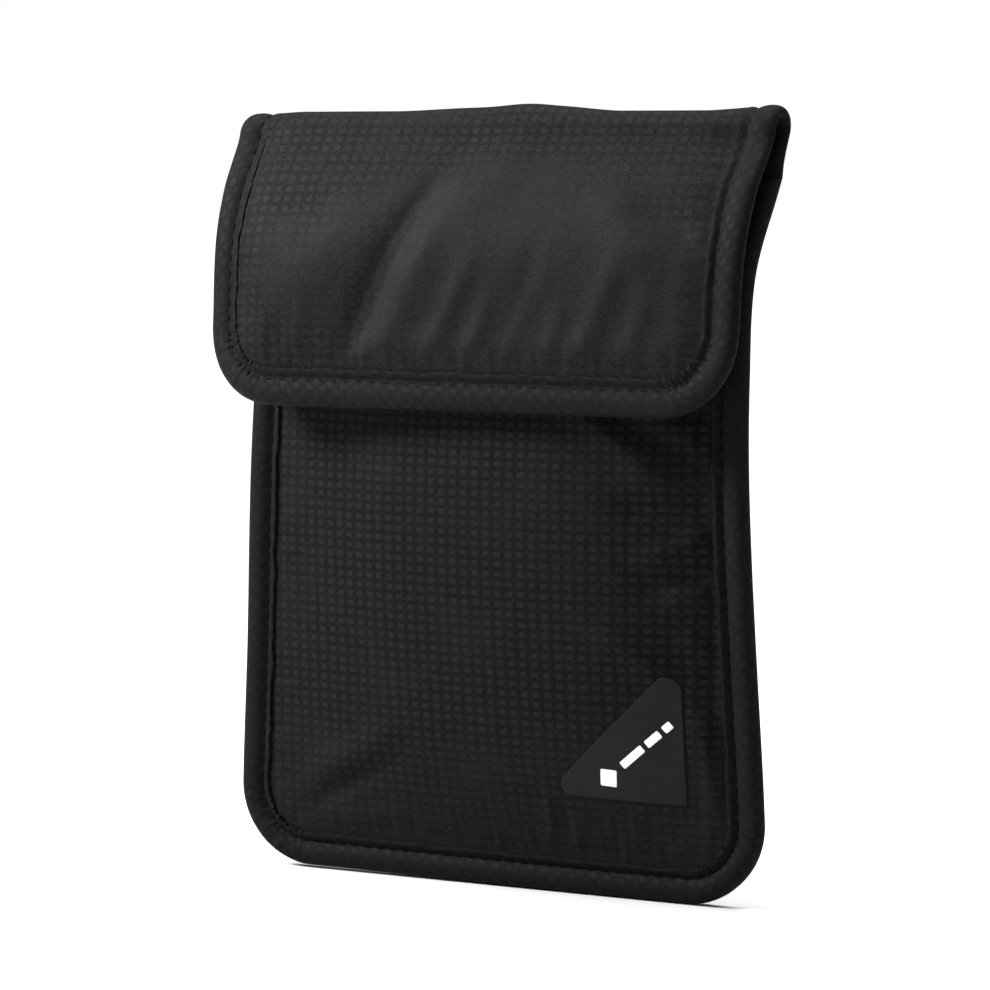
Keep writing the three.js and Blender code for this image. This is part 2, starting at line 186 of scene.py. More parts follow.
def outline(side, up, inset):
    """Half width of such an outline, moved in by inset."""
    below = np.maximum(CORNER - up, 0)
    round_part = side - CORNER + np.sqrt(np.maximum((CORNER - inset) ** 2 - below**2, 0))
    return np.where(below > 0, round_part, side - inset)


PINCH = 0.8  # mm off each wall
FLAP_PINCH = 0.58  # off the flap, as a share of its thickness
GROOVE = 0.45  # the tape's thickness under the stitches, as a share


def pinch(inset):
    """Where the seam's stitches press the layers together."""
    return np.exp(-(((inset - STITCH_INSET) / 0.9) ** 2))


def pucker(across, up, inset, rate, seed, width):
    """Small gathers in the cloth just inside a seam's stitches."""
    along = np.where(up < CORNER, across, up)
    near_seam = np.exp(-(((inset - PUCKER_INSET) / width) ** 2)) * smooth(BINDING_WIDTH, BULGE_INSET, inset)
    return (1 + wander(along * rate, seed)) * near_seam


# Each fold: its start and end, its width, its height and how far it bows.
FRONT_FOLDS = [
    ((26, 120), (52, 98), 3.6, 1.4, 1.0),
    ((42, 120), (62, 108), 3.0, 1.1, 0.0),
    ((38, 94), (58, 96), 3.6, -0.9, 0.0),
    ((44, 83), (63, 90), 3.0, 1.4, -1.0),
    ((42, 75), (58, 81), 3.0, -0.8, 0.0),
    ((50, 73), (63, 75), 2.6, 1.1, 0.0),
    ((34, 66), (50, 55), 3.2, 1.0, 0.0),
    ((54, 64), (62, 61), 2.2, 0.8, 0.0),
    ((56, 50), (62, 20), 3.0, 1.0, 1.0),
    ((-50, 23), (-24, 36), 4.2, 1.3, 1.0),
    ((-53, 15), (-26, 28), 2.6, -1.0, 1.0),
    ((-44, 13), (-20, 17), 2.6, 0.5, 0.0),
    ((17, 12), (19, 25), 1.8, 0.6, 0.0),
    ((24, 12), (27, 22), 1.8, 0.4, 0.0),
    ((43, 12), (40, 20), 2.0, 0.5, 0.0),
    ((-62, 50), (-54, 100), 4.5, 0.5, 0.0),
    ((-20, 60), (-26, 110), 9.0, 0.5, 2.0),
]


def front_cloth_lift(x, z):
    """The folds and puckers of the front cloth. They stop short of the stiff zip."""
    inset = edge_inset(x, z, half_width(z))
    lift = sum(fold(x, z, *one) for one in FRONT_FOLDS) * smooth(BINDING_WIDTH, PUCKER_INSET, inset)
    gathers = 0.22 * pucker(x, z, inset, 0.9, 3, 3.5)
    slow = 0.25 * (1 + wander(x * 0.09 + z * 0.05, 1) * wander(z * 0.08 - x * 0.03, 2))
    below_zip = 1 - smooth(136, 148, z)
    return (lift + gathers + slow * smooth(9.5, 16, inset)) * below_zip


def across_fill(x, z):
    """Where a point is across the part that swells, from -1 to 1."""
    return np.clip(x / (half_width(z) - BULGE_INSET), -1, 1)


def wall_half(x, z):
    return PANEL_HALF - PINCH * pinch(edge_inset(x, z, half_width(z)))


def front_swell(u, z):
    """The front swells softly to its crest, and stays straight along the stiff zip."""
    reach = np.where(u < CREST, 1 + CREST, 1 - CREST)
    soft = 1 - ((u - CREST) / reach) ** 2
    straight = 1 - np.abs(u) ** 16
    return between(soft, straight, smooth(122, 150, z))


def plain_front(x, z):
    """The front wall's outer face, before its folds."""
    return seam_y(z) - wall_half(x, z) - FRONT_BULGE * front_fill(z) * front_swell(across_fill(x, z), z)


def front_face(x, z):
    return plain_front(x, z) - front_cloth_lift(x, z)


def back_face(x, z):
    return seam_y(z) + wall_half(x, z) + BACK_BULGE * back_fill(z) * (1 - across_fill(x, z) ** 2)


# ---------- Form of the flap ----------
# Its rows are measured along the cloth: up the front, over the fold and down the back.
FRONT_RUN = FOLD_Z - FLAP_BOTTOM
FOLD_RUN = math.pi * FOLD_RADIUS
BACK_RUN = 10.9
SPLIT_RUN = FRONT_RUN + FOLD_RUN  # the flap's cloth runs up its front and over the fold up to here
FLAP_RUN = SPLIT_RUN + BACK_RUN
UPRIGHT_SLOPE = 0.278  # what the flap's line still leans by where its fold starts


def lean(z):
    """How far the fold leans back at its top."""
    return 2.6 * smooth(175, 190, z)


def bow(x, z):
    """How far the flap stands out in front of its plain line. Its left side curls back and its
    right side stands off."""
    below_fold = 1 - smooth(FLAP_UPRIGHT_Z - 1, FOLD_Z, z)
    out = 1.5 + 3.2 * np.exp(-(((z - 157) / 16) ** 2))
    at_side = (np.maximum(np.abs(x) - 56, 0) / 18) ** 2
    left_curl = 2.2 * smooth(150, 175, z) - 3.6
    return (out + np.where(x < 0, left_curl, 1.2) * at_side) * below_fold


def top_line(x):
    """How far the fold's top rises and dips from one side to the other."""
    middle = 0.9 * np.exp(-(((x - 6) / 9) ** 2)) - 0.5
    left = 0.8 * smooth(8, 32, -x) + 0.5 * smooth(58, FLAP_SIDE, -x)
    right = 0.9 * smooth(16, 32, x) - 1.1 * smooth(54, 70, x)
    return middle - left - right


def flap_middle(x, run):
    """The flap's middle surface: its y and z at x, run millimetres up from its bottom edge."""
    front_z = FLAP_BOTTOM + np.minimum(run, FRONT_RUN)
    rise = FOLD_Z - FLAP_UPRIGHT_Z
    upright = np.clip((front_z - FLAP_UPRIGHT_Z) / rise, 0, 1)
    ease = UPRIGHT_SLOPE * rise * (upright**3 - upright**2)
    front_y = flap_line(front_z) + GROUND_SEAM_Y - ease - bow(x, front_z)
    turn = np.clip((run - FRONT_RUN) / FOLD_RADIUS, 0, math.pi)
    start_y = flap_line(FOLD_Z) + GROUND_SEAM_Y
    end_y = back_face(x, FOLD_Z) - FLAP_HALF
    fold_y = (start_y + end_y) / 2 - (end_y - start_y) / 2 * np.cos(turn)
    fold_z = FOLD_Z + (FOLD_RADIUS + top_line(x)) * np.sin(turn)
    back_z = FOLD_Z - np.clip(run - SPLIT_RUN, 0, BACK_RUN)
    back_y = back_face(x, back_z) - FLAP_HALF
    parts = [run < FRONT_RUN, run < SPLIT_RUN]
    z = np.select(parts, [front_z, fold_z], back_z)
    return np.select(parts, [front_y, fold_y], back_y) + lean(z), z


def flap_place(x, run, away):
    """A point of the flap, away from its middle surface towards its outer face."""
    x, run, away = np.broadcast_arrays(*(np.asarray(v, float) for v in (x, run, away)))
    step = 0.8
    y, z = flap_middle(x, run)
    y_low, z_low = flap_middle(x, np.where(run < step, run, run - step))
    y_high, z_high = flap_middle(x, run + step)
    ty, tz = y_high - y_low, z_high - z_low
    size = np.maximum(np.hypot(ty, tz), 1e-6)
    return np.stack([x, y - tz / size * away, z + ty / size * away], -1)


def flap_side(run):
    """The flap's half width: it narrows a little to the back's width, and towards its bottom."""
    at_back = smooth(FRONT_RUN + FOLD_RUN * 0.5, FLAP_RUN, run)
    return FLAP_SIDE - 0.7 * at_back - 0.8 * (1 - smooth(0, 45, run))


FLAP_FOLDS = [
    ((-30, 48), (-60, 18), 9.0, 0.9, 2.0),
    ((-8, 44), (-25, 9), 4.2, 0.75, 1.0),
    ((2, 36), (-11, 8), 2.9, 0.62, 0.6),
    ((8, 28), (0, 7), 2.5, 0.55, 0.5),
    ((18, 28), (10, 7), 2.7, 0.5, 0.4),
    ((28, 26), (21, 7), 2.7, 0.5, 0.4),
    ((42, 38), (30, 9), 3.6, 0.7, 0.8),
    ((50, 30), (44, 10), 2.7, 0.45, 0.4),
    ((10, 62), (-8, 47), 7.0, 0.5, 1.0),
    ((32, 52), (52, 34), 6.0, 0.7, 1.0),
    ((-44, 26), (-48, 8), 2.4, 0.4, 0.3),
    ((-54, 24), (-58, 8), 2.4, 0.35, 0.3),
]
FLAP_VALLEYS = [
    ((-8, 58), (-33, 8), 3.8, 1.4, -2.0),
    ((44, 48), (64, 40), 3.4, 0.9, 0.0),
    ((20, 40), (12, 10), 3.0, 0.4, 0.0),
]


def flap_cloth_lift(x, run):
    """The padded flap's puff, its folds, and the puckers along its stitching."""
    inset = edge_inset(x, run, FLAP_SIDE)
    inside = smooth(BINDING_WIDTH, 17, inset) * (1 - smooth(FRONT_RUN, FRONT_RUN + FOLD_RUN * 0.6, run))
    ridges = sum(fold(x, run, *one) for one in FLAP_FOLDS)
    valleys = sum(fold(x, run, *one) for one in FLAP_VALLEYS)
    slow = 0.2 * (1 + wander(x * 0.1 - run * 0.04, 5))
    body = np.maximum(1.1 + ridges - valleys + slow, 0)
    gathers = 0.2 * pucker(x, run, inset, 1.1, 7, 3.2) * (1 - smooth(FRONT_RUN - 8, FRONT_RUN, run))
    return body * inside + gathers


def flap_layer(x, run, away):
    """A layer of the flap, pressed together under the stitches of its edge."""
    inset = edge_inset(x, run, flap_side(run))
    return flap_place(x, run, away * (1 - FLAP_PINCH * pinch(inset)))


# ---------- Meshes ----------
def volume(points, faces):
    """The signed volume inside closed faces, to tell which way they face."""
    total = 0.0
    for size in {len(face) for face in faces}:
        corners = points[np.array([face for face in faces if len(face) == size])]
        for k in range(1, size - 1):
            a, b, c = corners[:, 0], corners[:, k], corners[:, k + 1]
            total += np.einsum("ij,ij->", a, np.cross(b, c))
    return total / 6


def settled(points):
    """The soft bottom edge rises a little to the left and at its right corner, as it stands."""
    x, y, z = points.T
    low = 1 - smooth(0, 42, z)
    lift = 0.5 * low * smooth(-35, 60, -x) + 0.6 * smooth(52, 72, x) * (1 - smooth(0, 24, z))
    return np.stack([x, y, z + lift], -1)


def new_object(name, data):
    item = bpy.data.objects.new(name, data)
    bpy.context.scene.collection.objects.link(item)
    return item


def shade(mesh, sharp):
    """Smooth shading, with edges over sharp degrees left sharp."""
    mesh.polygons.foreach_set("use_smooth", [True] * len(mesh.polygons))
    mesh.set_sharp_from_angle(angle=math.radians(sharp))


def make_piece(name, points, faces, material, uv=None, sharp=50):
    """A closed mesh from points in mm. uv holds the cloth's own coordinates in mm."""
    points = settled(np.asarray(points, float).reshape(-1, 3))
    if volume(points, faces) < 0:
        faces = [face[::-1] for face in faces]
    mesh = bpy.data.meshes.new(name)
    mesh.from_pydata((points * MM).tolist(), [], faces)
    shade(mesh, sharp)
    if uv is not None:
        corner = np.empty(len(mesh.loops), np.int32)
        mesh.loops.foreach_get("vertex_index", corner)
        layer = mesh.uv_layers.new(name="cloth")
        layer.data.foreach_set("uv", np.asarray(uv, float).reshape(-1, 2)[corner].ravel())
    mesh.materials.append(material)
    return new_object(name, mesh)


def sheet_piece(name, front, back, material, uv):
    """A closed sheet between two grids of points, each of shape (rows, columns, 3)."""
    rows, columns = front.shape[:2]
    total = rows * columns
    index = np.arange(total).reshape(rows, columns)
    quads = np.stack([index[:-1, :-1], index[:-1, 1:], index[1:, 1:], index[1:, :-1]], -1).reshape(-1, 4)
    rim = np.concatenate([index[0, :-1], index[:-1, -1], index[-1, :0:-1], index[:0:-1, 0]])
    ahead = np.roll(rim, -1)
    sides = np.stack([ahead, rim, rim + total, ahead + total], -1)
    faces = np.concatenate([quads, quads[:, ::-1] + total, sides]).tolist()
    points = np.concatenate([front.reshape(-1, 3), back.reshape(-1, 3)])
    return make_piece(name, points, faces, material, np.concatenate([uv.reshape(-1, 2)] * 2))


def sweep_piece(name, rings, material, uv=None, closed=False):
    """A skin over rings of points, of shape (stations, around, 3), with flat ends if it isn't closed."""
    count, around = rings.shape[:2]
    index = np.arange(count * around).reshape(count, around)
    beside = np.roll(index, -1, axis=1)
    if closed:
        pairs = (index, beside, np.roll(beside, -1, axis=0), np.roll(index, -1, axis=0))
    else:
        pairs = (index[:-1], beside[:-1], beside[1:], index[1:])
    faces = np.stack(pairs, -1).reshape(-1, 4).tolist()
    if not closed:
        faces += [index[0, ::-1].tolist(), index[-1].tolist()]
    return make_piece(name, rings, faces, material, uv)


def unit(vectors):
    return vectors / np.linalg.norm(vectors, axis=-1, keepdims=True)


def distance(across, up):
    """How far along a line each of its points is."""
    return np.concatenate([[0], np.cumsum(np.hypot(np.diff(across), np.diff(up)))])


def outwards(way):
    """The direction to the right of each direction in a plane."""
    return np.stack([way[:, 1], -way[:, 0]], -1)


def many_tubes(name, centres, radii, ups, material, sides=6):
    """Many short threads as one piece. centres is (threads, stations, 3), and ups are directions
    that the threads don't run in."""
    threads, stations = centres.shape[:2]
    along = unit(np.gradient(centres, axis=1))
    side = unit(np.cross(along, ups))
    up = np.cross(side, along)
    turn = np.arange(sides) * 2 * math.pi / sides
    radii = np.broadcast_to(radii, (threads, stations))[..., None, None]
    ring = side[:, :, None] * np.cos(turn)[:, None] + up[:, :, None] * np.sin(turn)[:, None]
    rings = centres[:, :, None] + radii * ring
    index = np.arange(threads * stations * sides).reshape(threads, stations, sides)
    beside = np.roll(index, -1, axis=2)
    walls = np.stack([index[:, :-1], beside[:, :-1], beside[:, 1:], index[:, 1:]], -1)
    faces = walls.reshape(-1, 4).tolist()
    faces += index[:, 0, ::-1].tolist() + index[:, -1].tolist()
    return make_piece(name, rings, faces, material, sharp=80)


def stitches(name, lines, place, length=2.9, pitch=STITCH_PITCH, radius=0.24):
    """Sewn thread along lines of (across, up, depth) points on a surface given by place. Each
    stitch rises out of the cloth and dips back into it."""
    t = np.linspace(0, 1, 7)
    centres, ups = [], []
    for across, up, depth in lines:
        run = distance(across, up)
        starts = np.arange(pitch * 0.4, run[-1] - length, pitch)
        at = starts[:, None] + length * t
        x, s, q = (np.interp(at, run, v) for v in (across, up, np.broadcast_to(depth, across.shape)))
        way = -1 if np.any(q < 0) else 1
        lift = 0.26 * np.sin(math.pi * t) ** 0.7 - 0.16
        centres.append(place(x, s, q + way * lift))
        ups.append(unit(place(x, s, q + 1) - place(x, s, q)))
    thickness = radius * (0.55 + 0.45 * np.sin(math.pi * t))
    return many_tubes(name, np.concatenate(centres), thickness, np.concatenate(ups), thread_black)


# ---------- Materials ----------
class Finish:
    """A procedural material around one Principled surface."""

    def __init__(self, name, roughness, specular=0.2, metallic=0.0, sheen=0.0):
        self.material = bpy.data.materials.new(name)
        self.material.use_nodes = True
        self.tree = self.material.node_tree
        self.inputs = self.tree.nodes["Principled BSDF"].inputs
        self.inputs["Roughness"].default_value = roughness
        self.inputs["Specular IOR Level"].default_value = specular
        self.inputs["Metallic"].default_value = metallic
        self.inputs["Sheen Weight"].default_value = sheen
        self.inputs["Sheen Roughness"].default_value = 0.5

    def feed(self, socket, value):
        if isinstance(value, bpy.types.NodeSocket):
            self.tree.links.new(value, socket)
        else:
            socket.default_value = value

    def node(self, kind, *values, **named):
        """A new shader node, its inputs fed in order or by name."""
        node = self.tree.nodes.new(f"ShaderNode{kind}")
        for socket, value in zip(node.inputs, values):
            self.feed(socket, value)
        for name, value in named.items():
            self.feed(node.inputs[name], value)
        return node

    def math(self, operation, *values):
        node = self.node("Math", *values)
        node.operation = operation
        return node.outputs[0]

    def times(self, first, second):
        return self.math("MULTIPLY", first, second)

    def minus(self, first, second):
        return self.math("SUBTRACT", first, second)

    def total(self, *parts):
        whole = parts[0]
        for part in parts[1:]:
            whole = self.math("ADD", whole, part)
        return whole

    def ramp(self, value, low, high, start=0.0, end=1.0):
        node = self.node("MapRange", value, low, high, start, end)
        node.interpolation_type = "SMOOTHSTEP"
        return node.outputs[0]

    def cloth(self, turn=0.0):
        """The cloth's own coordinates in mm, turned for cloth that is cut on the bias."""
        coordinates = self.node("UVMap")
        coordinates.uv_map = "cloth"
        turned = self.node("Mapping", Vector=coordinates.outputs["UV"], Rotation=(0, 0, math.radians(turn)))
        return self.node("SeparateXYZ", turned.outputs[0]).outputs[:2]

    def noise(self, size, detail=3.0):
        """Noise over the object's own coordinates, whose blotches are size mm across."""
        place = self.node("TexCoord").outputs["Object"]
        return self.node("TexNoise", Vector=place, Scale=1 / (size * MM), Detail=detail).outputs["Fac"]

    def cell_noise(self, u, v, pitch):
        """A different number in each cell of the weave."""
        cell = [self.math("FLOOR", self.math("DIVIDE", value, size)) for value, size in zip((u, v), pitch)]
        node = self.node("TexWhiteNoise", Vector=self.node("CombineXYZ", *cell).outputs[0])
        node.noise_dimensions = "2D"
        return node.outputs["Value"]

    def wave(self, value, pitch):
        """A sine wave from -1 to 1."""
        return self.math("SINE", self.times(value, 2 * math.pi / pitch))

    def squares(self, u, v, pitch, fill, soft):
        """1 on the raised squares of a weave and 0 in the channels between them."""
        sides = []
        for value, size in zip((u, v), pitch):
            cell = self.math("FRACT", self.math("DIVIDE", value, size))
            away = self.math("ABSOLUTE", self.minus(cell, 0.5))
            sides.append(self.ramp(away, fill / 2 + soft, fill / 2 - soft))
        return self.times(*sides)

    def oval(self, u, v, middle, reach, slant):
        """0 in the middle of a leaning oval patch of cloth, and over 1 outside it."""
        up = self.minus(v, middle[1])
        across = self.minus(self.minus(u, middle[0]), self.times(up, slant))
        squared = [self.math("POWER", self.math("DIVIDE", a, r), 2.0) for a, r in zip((across, up), reach)]
        return self.total(*squared, self.ramp(self.noise(16), 0.2, 0.8, -0.35, 0.35))

    def mixed(self, share, low, high):
        """A blend of two colours, each a socket or three numbers."""
        node = self.node("Mix", Factor=share)
        node.data_type = "RGBA"
        for socket, colour in zip(node.inputs[6:8], (low, high)):
            self.feed(socket, colour if isinstance(colour, bpy.types.NodeSocket) else (*colour, 1))
        return node.outputs[2]

    def finish(self, colour, height=None, roughness=None):
        """Sets the colour, the bump from a height in mm, and the roughness."""
        self.feed(self.inputs["Base Color"], colour)
        if roughness is not None:
            self.feed(self.inputs["Roughness"], roughness)
        if height is not None:
            bump = self.node("Bump", Height=height, Distance=MM, Strength=1.0)
            self.feed(self.inputs["Normal"], bump.outputs[0])
        return self.material


def painted_flap_sheen(f, u, v):
    """A painted sheen: how much of the weave's squares show where they catch the light, most of it
    along the top and the left side, some of it on one fold, and little in the middle."""
    sheen_band = f.ramp(f.oval(u, v, (10, 33), (68, 25), 0.0), 0.5, 1.25, 0.12, 0.95)
    sheen_on_fold = f.ramp(f.minus(1.0, f.oval(u, v, (-31, 26), (8, 22), 0.5)), -0.3, 0.6, 0.0, 0.5)
    return f.math("MINIMUM", f.total(sheen_band, sheen_on_fold), 1.0)


def body_weave_fade(f, u, v):
    """How much of the weave shows on the body: less of it towards the bottom."""
    return f.ramp(v, 6, 46, 0.5, 1.0)


def grid_cloth(name, turn, dark, square, relief, grain, kept=None):
    """Black cloth woven with raised squares between finer threads."""
    f = Finish(name, 0.7, specular=0.06)
    u, v = f.cloth(turn)
    shown = f.ramp(f.noise(22), 0.25, 0.6, 0.6, 1.0)
    if kept:
        shown = f.times(shown, kept(f, u, v))
    channels = f.minus(1.0, f.squares(u, v, SQUARES, 0.56, 0.13))
    mask = f.minus(1.0, f.times(channels, shown))
    tint = f.total(f.times(f.cell_noise(u, v, SQUARES), 0.35), f.ramp(f.noise(9), 0.35, 0.65, 0.0, 0.65))
    warm, cool = ([c * k for c, k in zip(square, tone)] for tone in ((1.04, 1.0, 0.94), (0.92, 0.95, 1.2)))
    base = f.mixed(mask, dark, f.mixed(tint, warm, cool))
    picks = f.wave(v, 0.55)
    twill = f.wave(f.total(u, f.times(v, 1.6)), 0.8)
    threads = f.total(f.times(picks, 0.12), f.times(twill, 0.16), f.cell_noise(u, v, (0.62, 0.3)))
    # The threads are lighter flecks, up to grain of the way to three times the squares' colour: partly
    # their own tone, partly painted highlights on them.
    colour = f.mixed(f.ramp(threads, 0.2, 1.0, 0.0, grain), base, [c * 3 for c in square])
    height = f.total(f.times(mask, relief), f.times(threads, 0.05), f.times(f.noise(5), 0.14))
    return f.finish(colour, height, f.minus(0.74, f.times(mask, 0.12)))


def knit_mesh(name):
    """Soft backing cloth with a knitted grid of small holes."""
    f = Finish(name, 0.85, specular=0.08, sheen=0.02)
    u, v = f.cloth()
    row = f.math("FLOOR", f.math("DIVIDE", v, 1.1))
    shifted = f.total(u, f.times(f.math("MODULO", row, 2.0), 0.8))
    hole = f.squares(shifted, v, (1.6, 1.1), 0.42, 0.12)
    yarn = f.times(f.wave(u, 0.4), f.wave(v, 0.36))
    # The holes are painted near black: painted shade in them.
    colour = f.mixed(hole, (0.0066, 0.0066, 0.0072), (0.002, 0.002, 0.0024))
    return f.finish(colour, f.total(f.times(hole, -0.16), f.times(yarn, 0.02), f.times(f.noise(9), 0.2)))


def plain_weave(name, colour, pitch, roughness, metallic=0.0, ripstop=0.0, specular=0.25):
    """Thin plain woven cloth, with a grid of thicker threads where ripstop is over 0."""
    f = Finish(name, roughness, specular=specular, metallic=metallic)
    u, v = f.cloth()
    weave = f.times(f.wave(u, pitch), f.wave(v, pitch))
    tone = f.total(f.times(weave, 0.16), f.ramp(f.noise(7), 0.3, 0.7, 0.2, 0.7))
    height = f.total(f.times(weave, 0.03), f.times(f.noise(5), 0.15))
    if ripstop:
        lines = f.minus(1.0, f.squares(u, v, (ripstop, ripstop), 0.86, 0.04))
        height = f.total(height, f.times(lines, 0.08))
        tone = f.total(tone, f.times(lines, 0.3))
    return f.finish(f.mixed(tone, [c * 0.7 for c in colour], [c * 1.2 for c in colour]), height)


def webbing_cloth(name):
    """Ribbed woven tape."""
    f = Finish(name, 0.8, specular=0.12, sheen=0.06)
    u, v = f.cloth()
    rib = f.wave(v, 1.1)
    pick = f.times(f.wave(u, 0.9), rib)
    tone = f.ramp(f.total(rib, pick), -1.4, 1.6)
    colour = f.mixed(tone, (0.0028, 0.0028, 0.0032), (0.0085, 0.0085, 0.0095))
    return f.finish(colour, f.total(f.times(rib, 0.07), f.times(pick, 0.05)))


def speckled(name, low, high, roughness, grain, bump, specular=0.4, **others):
    """Moulded, cast or felted stuff: two tones mixed by noise, with a fine relief."""
    f = Finish(name, roughness, specular, **others)
    tone = f.ramp(f.noise(grain, 4), 0.3, 0.7)
    height = f.times(f.total(f.noise(grain, 4), f.noise(grain * 9)), bump)
    rough = f.ramp(f.noise(grain * 5), 0.25, 0.75, roughness * 0.85, min(1.0, roughness * 1.15))
    return f.finish(f.mixed(tone, low, high), height, rough)


def thread_finish(name, colour):
    """Twisted sewing thread."""
    f = Finish(name, 0.8, specular=0.05)
    tone = f.ramp(f.noise(0.35, 2), 0.3, 0.7)
    return f.finish(f.mixed(tone, [c * 0.5 for c in colour], colour), f.times(f.noise(0.25), 0.08))


body_cloth = grid_cloth(
    "body_cloth", 0, (0.0012, 0.0012, 0.0015), (0.0056, 0.0056, 0.0063), 0.05, 0.22, body_weave_fade
)
# The flap's weave squares show only in patches of painted sheen.
flap_finish = grid_cloth(
    "flap_cloth_weave", 0, (0.0021, 0.0021, 0.0031), (0.0046, 0.0046, 0.0049), 0.024, 0.43, painted_flap_sheen
)
binding_cloth = grid_cloth(
    "bias_binding", 45, (0.0032, 0.0032, 0.0036), (0.0042, 0.0042, 0.0047), 0.02, 0.27
)
back_finish = knit_mesh("back_mesh")
lining_finish = plain_weave("lining_cloth", (0.0125, 0.0133, 0.015), 0.5, 0.85, specular=0.08)
shield_finish = plain_weave("shielding_cloth", (0.34, 0.35, 0.37), 0.6, 0.42, metallic=0.6, ripstop=5.0)
tape_finish = plain_weave("zip_tape_cloth", (0.006, 0.006, 0.0066), 0.7, 0.75, specular=0.15)
foam_finish = speckled("foam", (0.03, 0.03, 0.032), (0.055, 0.055, 0.058), 0.95, 0.7, 0.12, specular=0.1)
webbing_finish = webbing_cloth("webbing")
hook_finish = speckled("hook_nylon", (0.0026, 0.0026, 0.003), (0.0055, 0.0055, 0.006), 0.5, 0.8, 0.03)
loop_finish = speckled(
    "loop_nylon", (0.0026, 0.0026, 0.003), (0.0065, 0.0065, 0.007), 0.9, 0.6, 0.1, sheen=0.03
)
coil_finish = speckled("zip_coil_nylon", (0.006, 0.006, 0.0065), (0.014, 0.014, 0.015), 0.4, 1.5, 0.01)
metal_finish = speckled(
    "zip_metal", (0.035, 0.035, 0.038), (0.08, 0.08, 0.085), 0.34, 0.9, 0.012, metallic=0.9
)
ring_finish = speckled("ring_plastic", (0.006, 0.006, 0.0065), (0.012, 0.012, 0.0125), 0.42, 0.5, 0.015)
label_finish = speckled(
    "label_film", (0.0036, 0.0034, 0.0033), (0.0047, 0.0043, 0.0042), 0.6, 2.5, 0.012, specular=0.14
)
print_finish = speckled("print_white", (0.62, 0.62, 0.61), (0.8, 0.8, 0.79), 0.6, 0.4, 0.01)
thread_black = thread_finish("thread_black", (0.003, 0.003, 0.0034))


# ---------- Pieces ----------
def named(piece, slot, nodes):
    """Hides the CAD solids that a piece stands for."""
    if nodes:
        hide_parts(*nodes)
    return piece


def put(piece, body, slot, *nodes):
    """Puts a piece on its body."""
    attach(piece, body)
    return named(piece, slot, nodes)


def put_over_fold(piece, slot, *nodes):
    """Bakes a piece's place into its mesh, and hides the CAD solids it stands for."""
    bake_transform(piece)
    return named(piece, slot, nodes)


def spread(low, high, step):
    """Even numbers from low to high, about a step apart."""
    return np.linspace(low, high, max(2, int(round((high - low) / step)) + 1))


def joined(*values):
    """Coordinates of different shapes as one array of points."""
    return np.stack(np.broadcast_arrays(*values), -1)


def wall(name, low, high, edge, outer, inner, material, step=0.8):
    """A layer of the pouch between two heights. edge gives its half width."""
    z = spread(low, high, step)[:, None]
    u = np.linspace(-1, 1, int(140 / step) + 1)[None, :]
    x, z = u * edge(z), z + 0 * u
    return sheet_piece(name, joined(x, outer(x, z), z), joined(x, inner(x, z), z), material, joined(x, z))


def wall_edge(z):
    return outline(half_width(z), z, SEAM_INSET)


def lining_edge(z):
    return half_width(z) - BULGE_INSET


def pressed(x, z):
    """Where the two walls come close, the layers between them are pressed thinner."""
    return np.minimum(1, (back_face(x, z) - front_face(x, z) - 2 * CLOTH) / INNER_DEPTH)


def behind_front(depth):
    return lambda x, z: front_face(x, z) + CLOTH + depth * pressed(x, z)


def before_back(depth):
    return lambda x, z: back_face(x, z) - CLOTH - depth * pressed(x, z)


def body_place(x, z, q):
    """A point near the body's seam surface, q towards the front."""
    return joined(x, seam_y(z) - q, z)


def front_place(x, z, lift):
    return joined(x, front_face(x, z) - lift, z)


# The body's walls and what lies between them.
zip_low, zip_high = ZIP_Z - ZIP_HALF_GAP, ZIP_Z + ZIP_HALF_GAP


def front_wall(name, low, high, node):
    piece = wall(name, low, high, wall_edge, front_face, behind_front(0), body_cloth)
    return put(piece, "pouch", "outer_cloth", node)


front_cloth = front_wall("front_cloth", SEAM_INSET, zip_low, "front_panel")
top_strip = front_wall("front_top_strip_cloth", zip_high - 0.6, MOUTH_Z + 0.5, "front_top_strip")

BACK_JOIN = FOLD_Z - BACK_RUN


def back_cloth_face(x, z):
    """The back cloth slips under the flap's cloth where the two join."""
    return back_face(x, z) - 0.65 * smooth(BACK_JOIN - 1.5, BACK_JOIN + 0.5, z)


back_cloth = wall(
    "back_cloth", SEAM_INSET, BACK_JOIN + 2.5, wall_edge, back_cloth_face,
    lambda x, z: back_cloth_face(x, z) - CLOTH, back_finish,
)
put(back_cloth, "pouch", "back_mesh", "back_panel")


def inner_layer(name, node, low, high, beside, depths, finish, slot):
    """A layer inside the pouch. depths are its two faces' distances from the outer cloth."""
    width = POCKET_WIDTH if node == "card_pocket" else 1
    outer, inner = (beside(depth) for depth in depths)
    piece = wall(name, low, high, lambda z: width * lining_edge(z), outer, inner, finish, step=2.0)
    return put(piece, "pouch", slot, node)


inner_pieces = [inner_layer(*layer) for layer in (
    ("front_shielding_cloth", "front_shielding", INNER_BOTTOM, 147, behind_front, (0.3, 0.6),
     shield_finish, "shielding"),
    ("divider_cloth", "divider_lining", INNER_BOTTOM, 164, behind_front, (1.3, 1.7),
     lining_finish, "lining"),
    ("back_shielding_cloth", "back_shielding", INNER_BOTTOM, 171, before_back, (2.7, 2.4),
     shield_finish, "shielding"),
    ("back_lining_cloth", "back_lining", INNER_BOTTOM, 172, before_back, (3.4, 3.0),
     lining_finish, "lining"),
    ("card_pocket_cloth", "card_pocket", 46, 128, before_back, (4.1, 3.7), lining_finish, "lining"),
)]
back_foam = inner_layer(
    "back_foam", "back_padding", INNER_BOTTOM, 171, before_back, (2.1, 0.4), foam_finish, "foam"
)


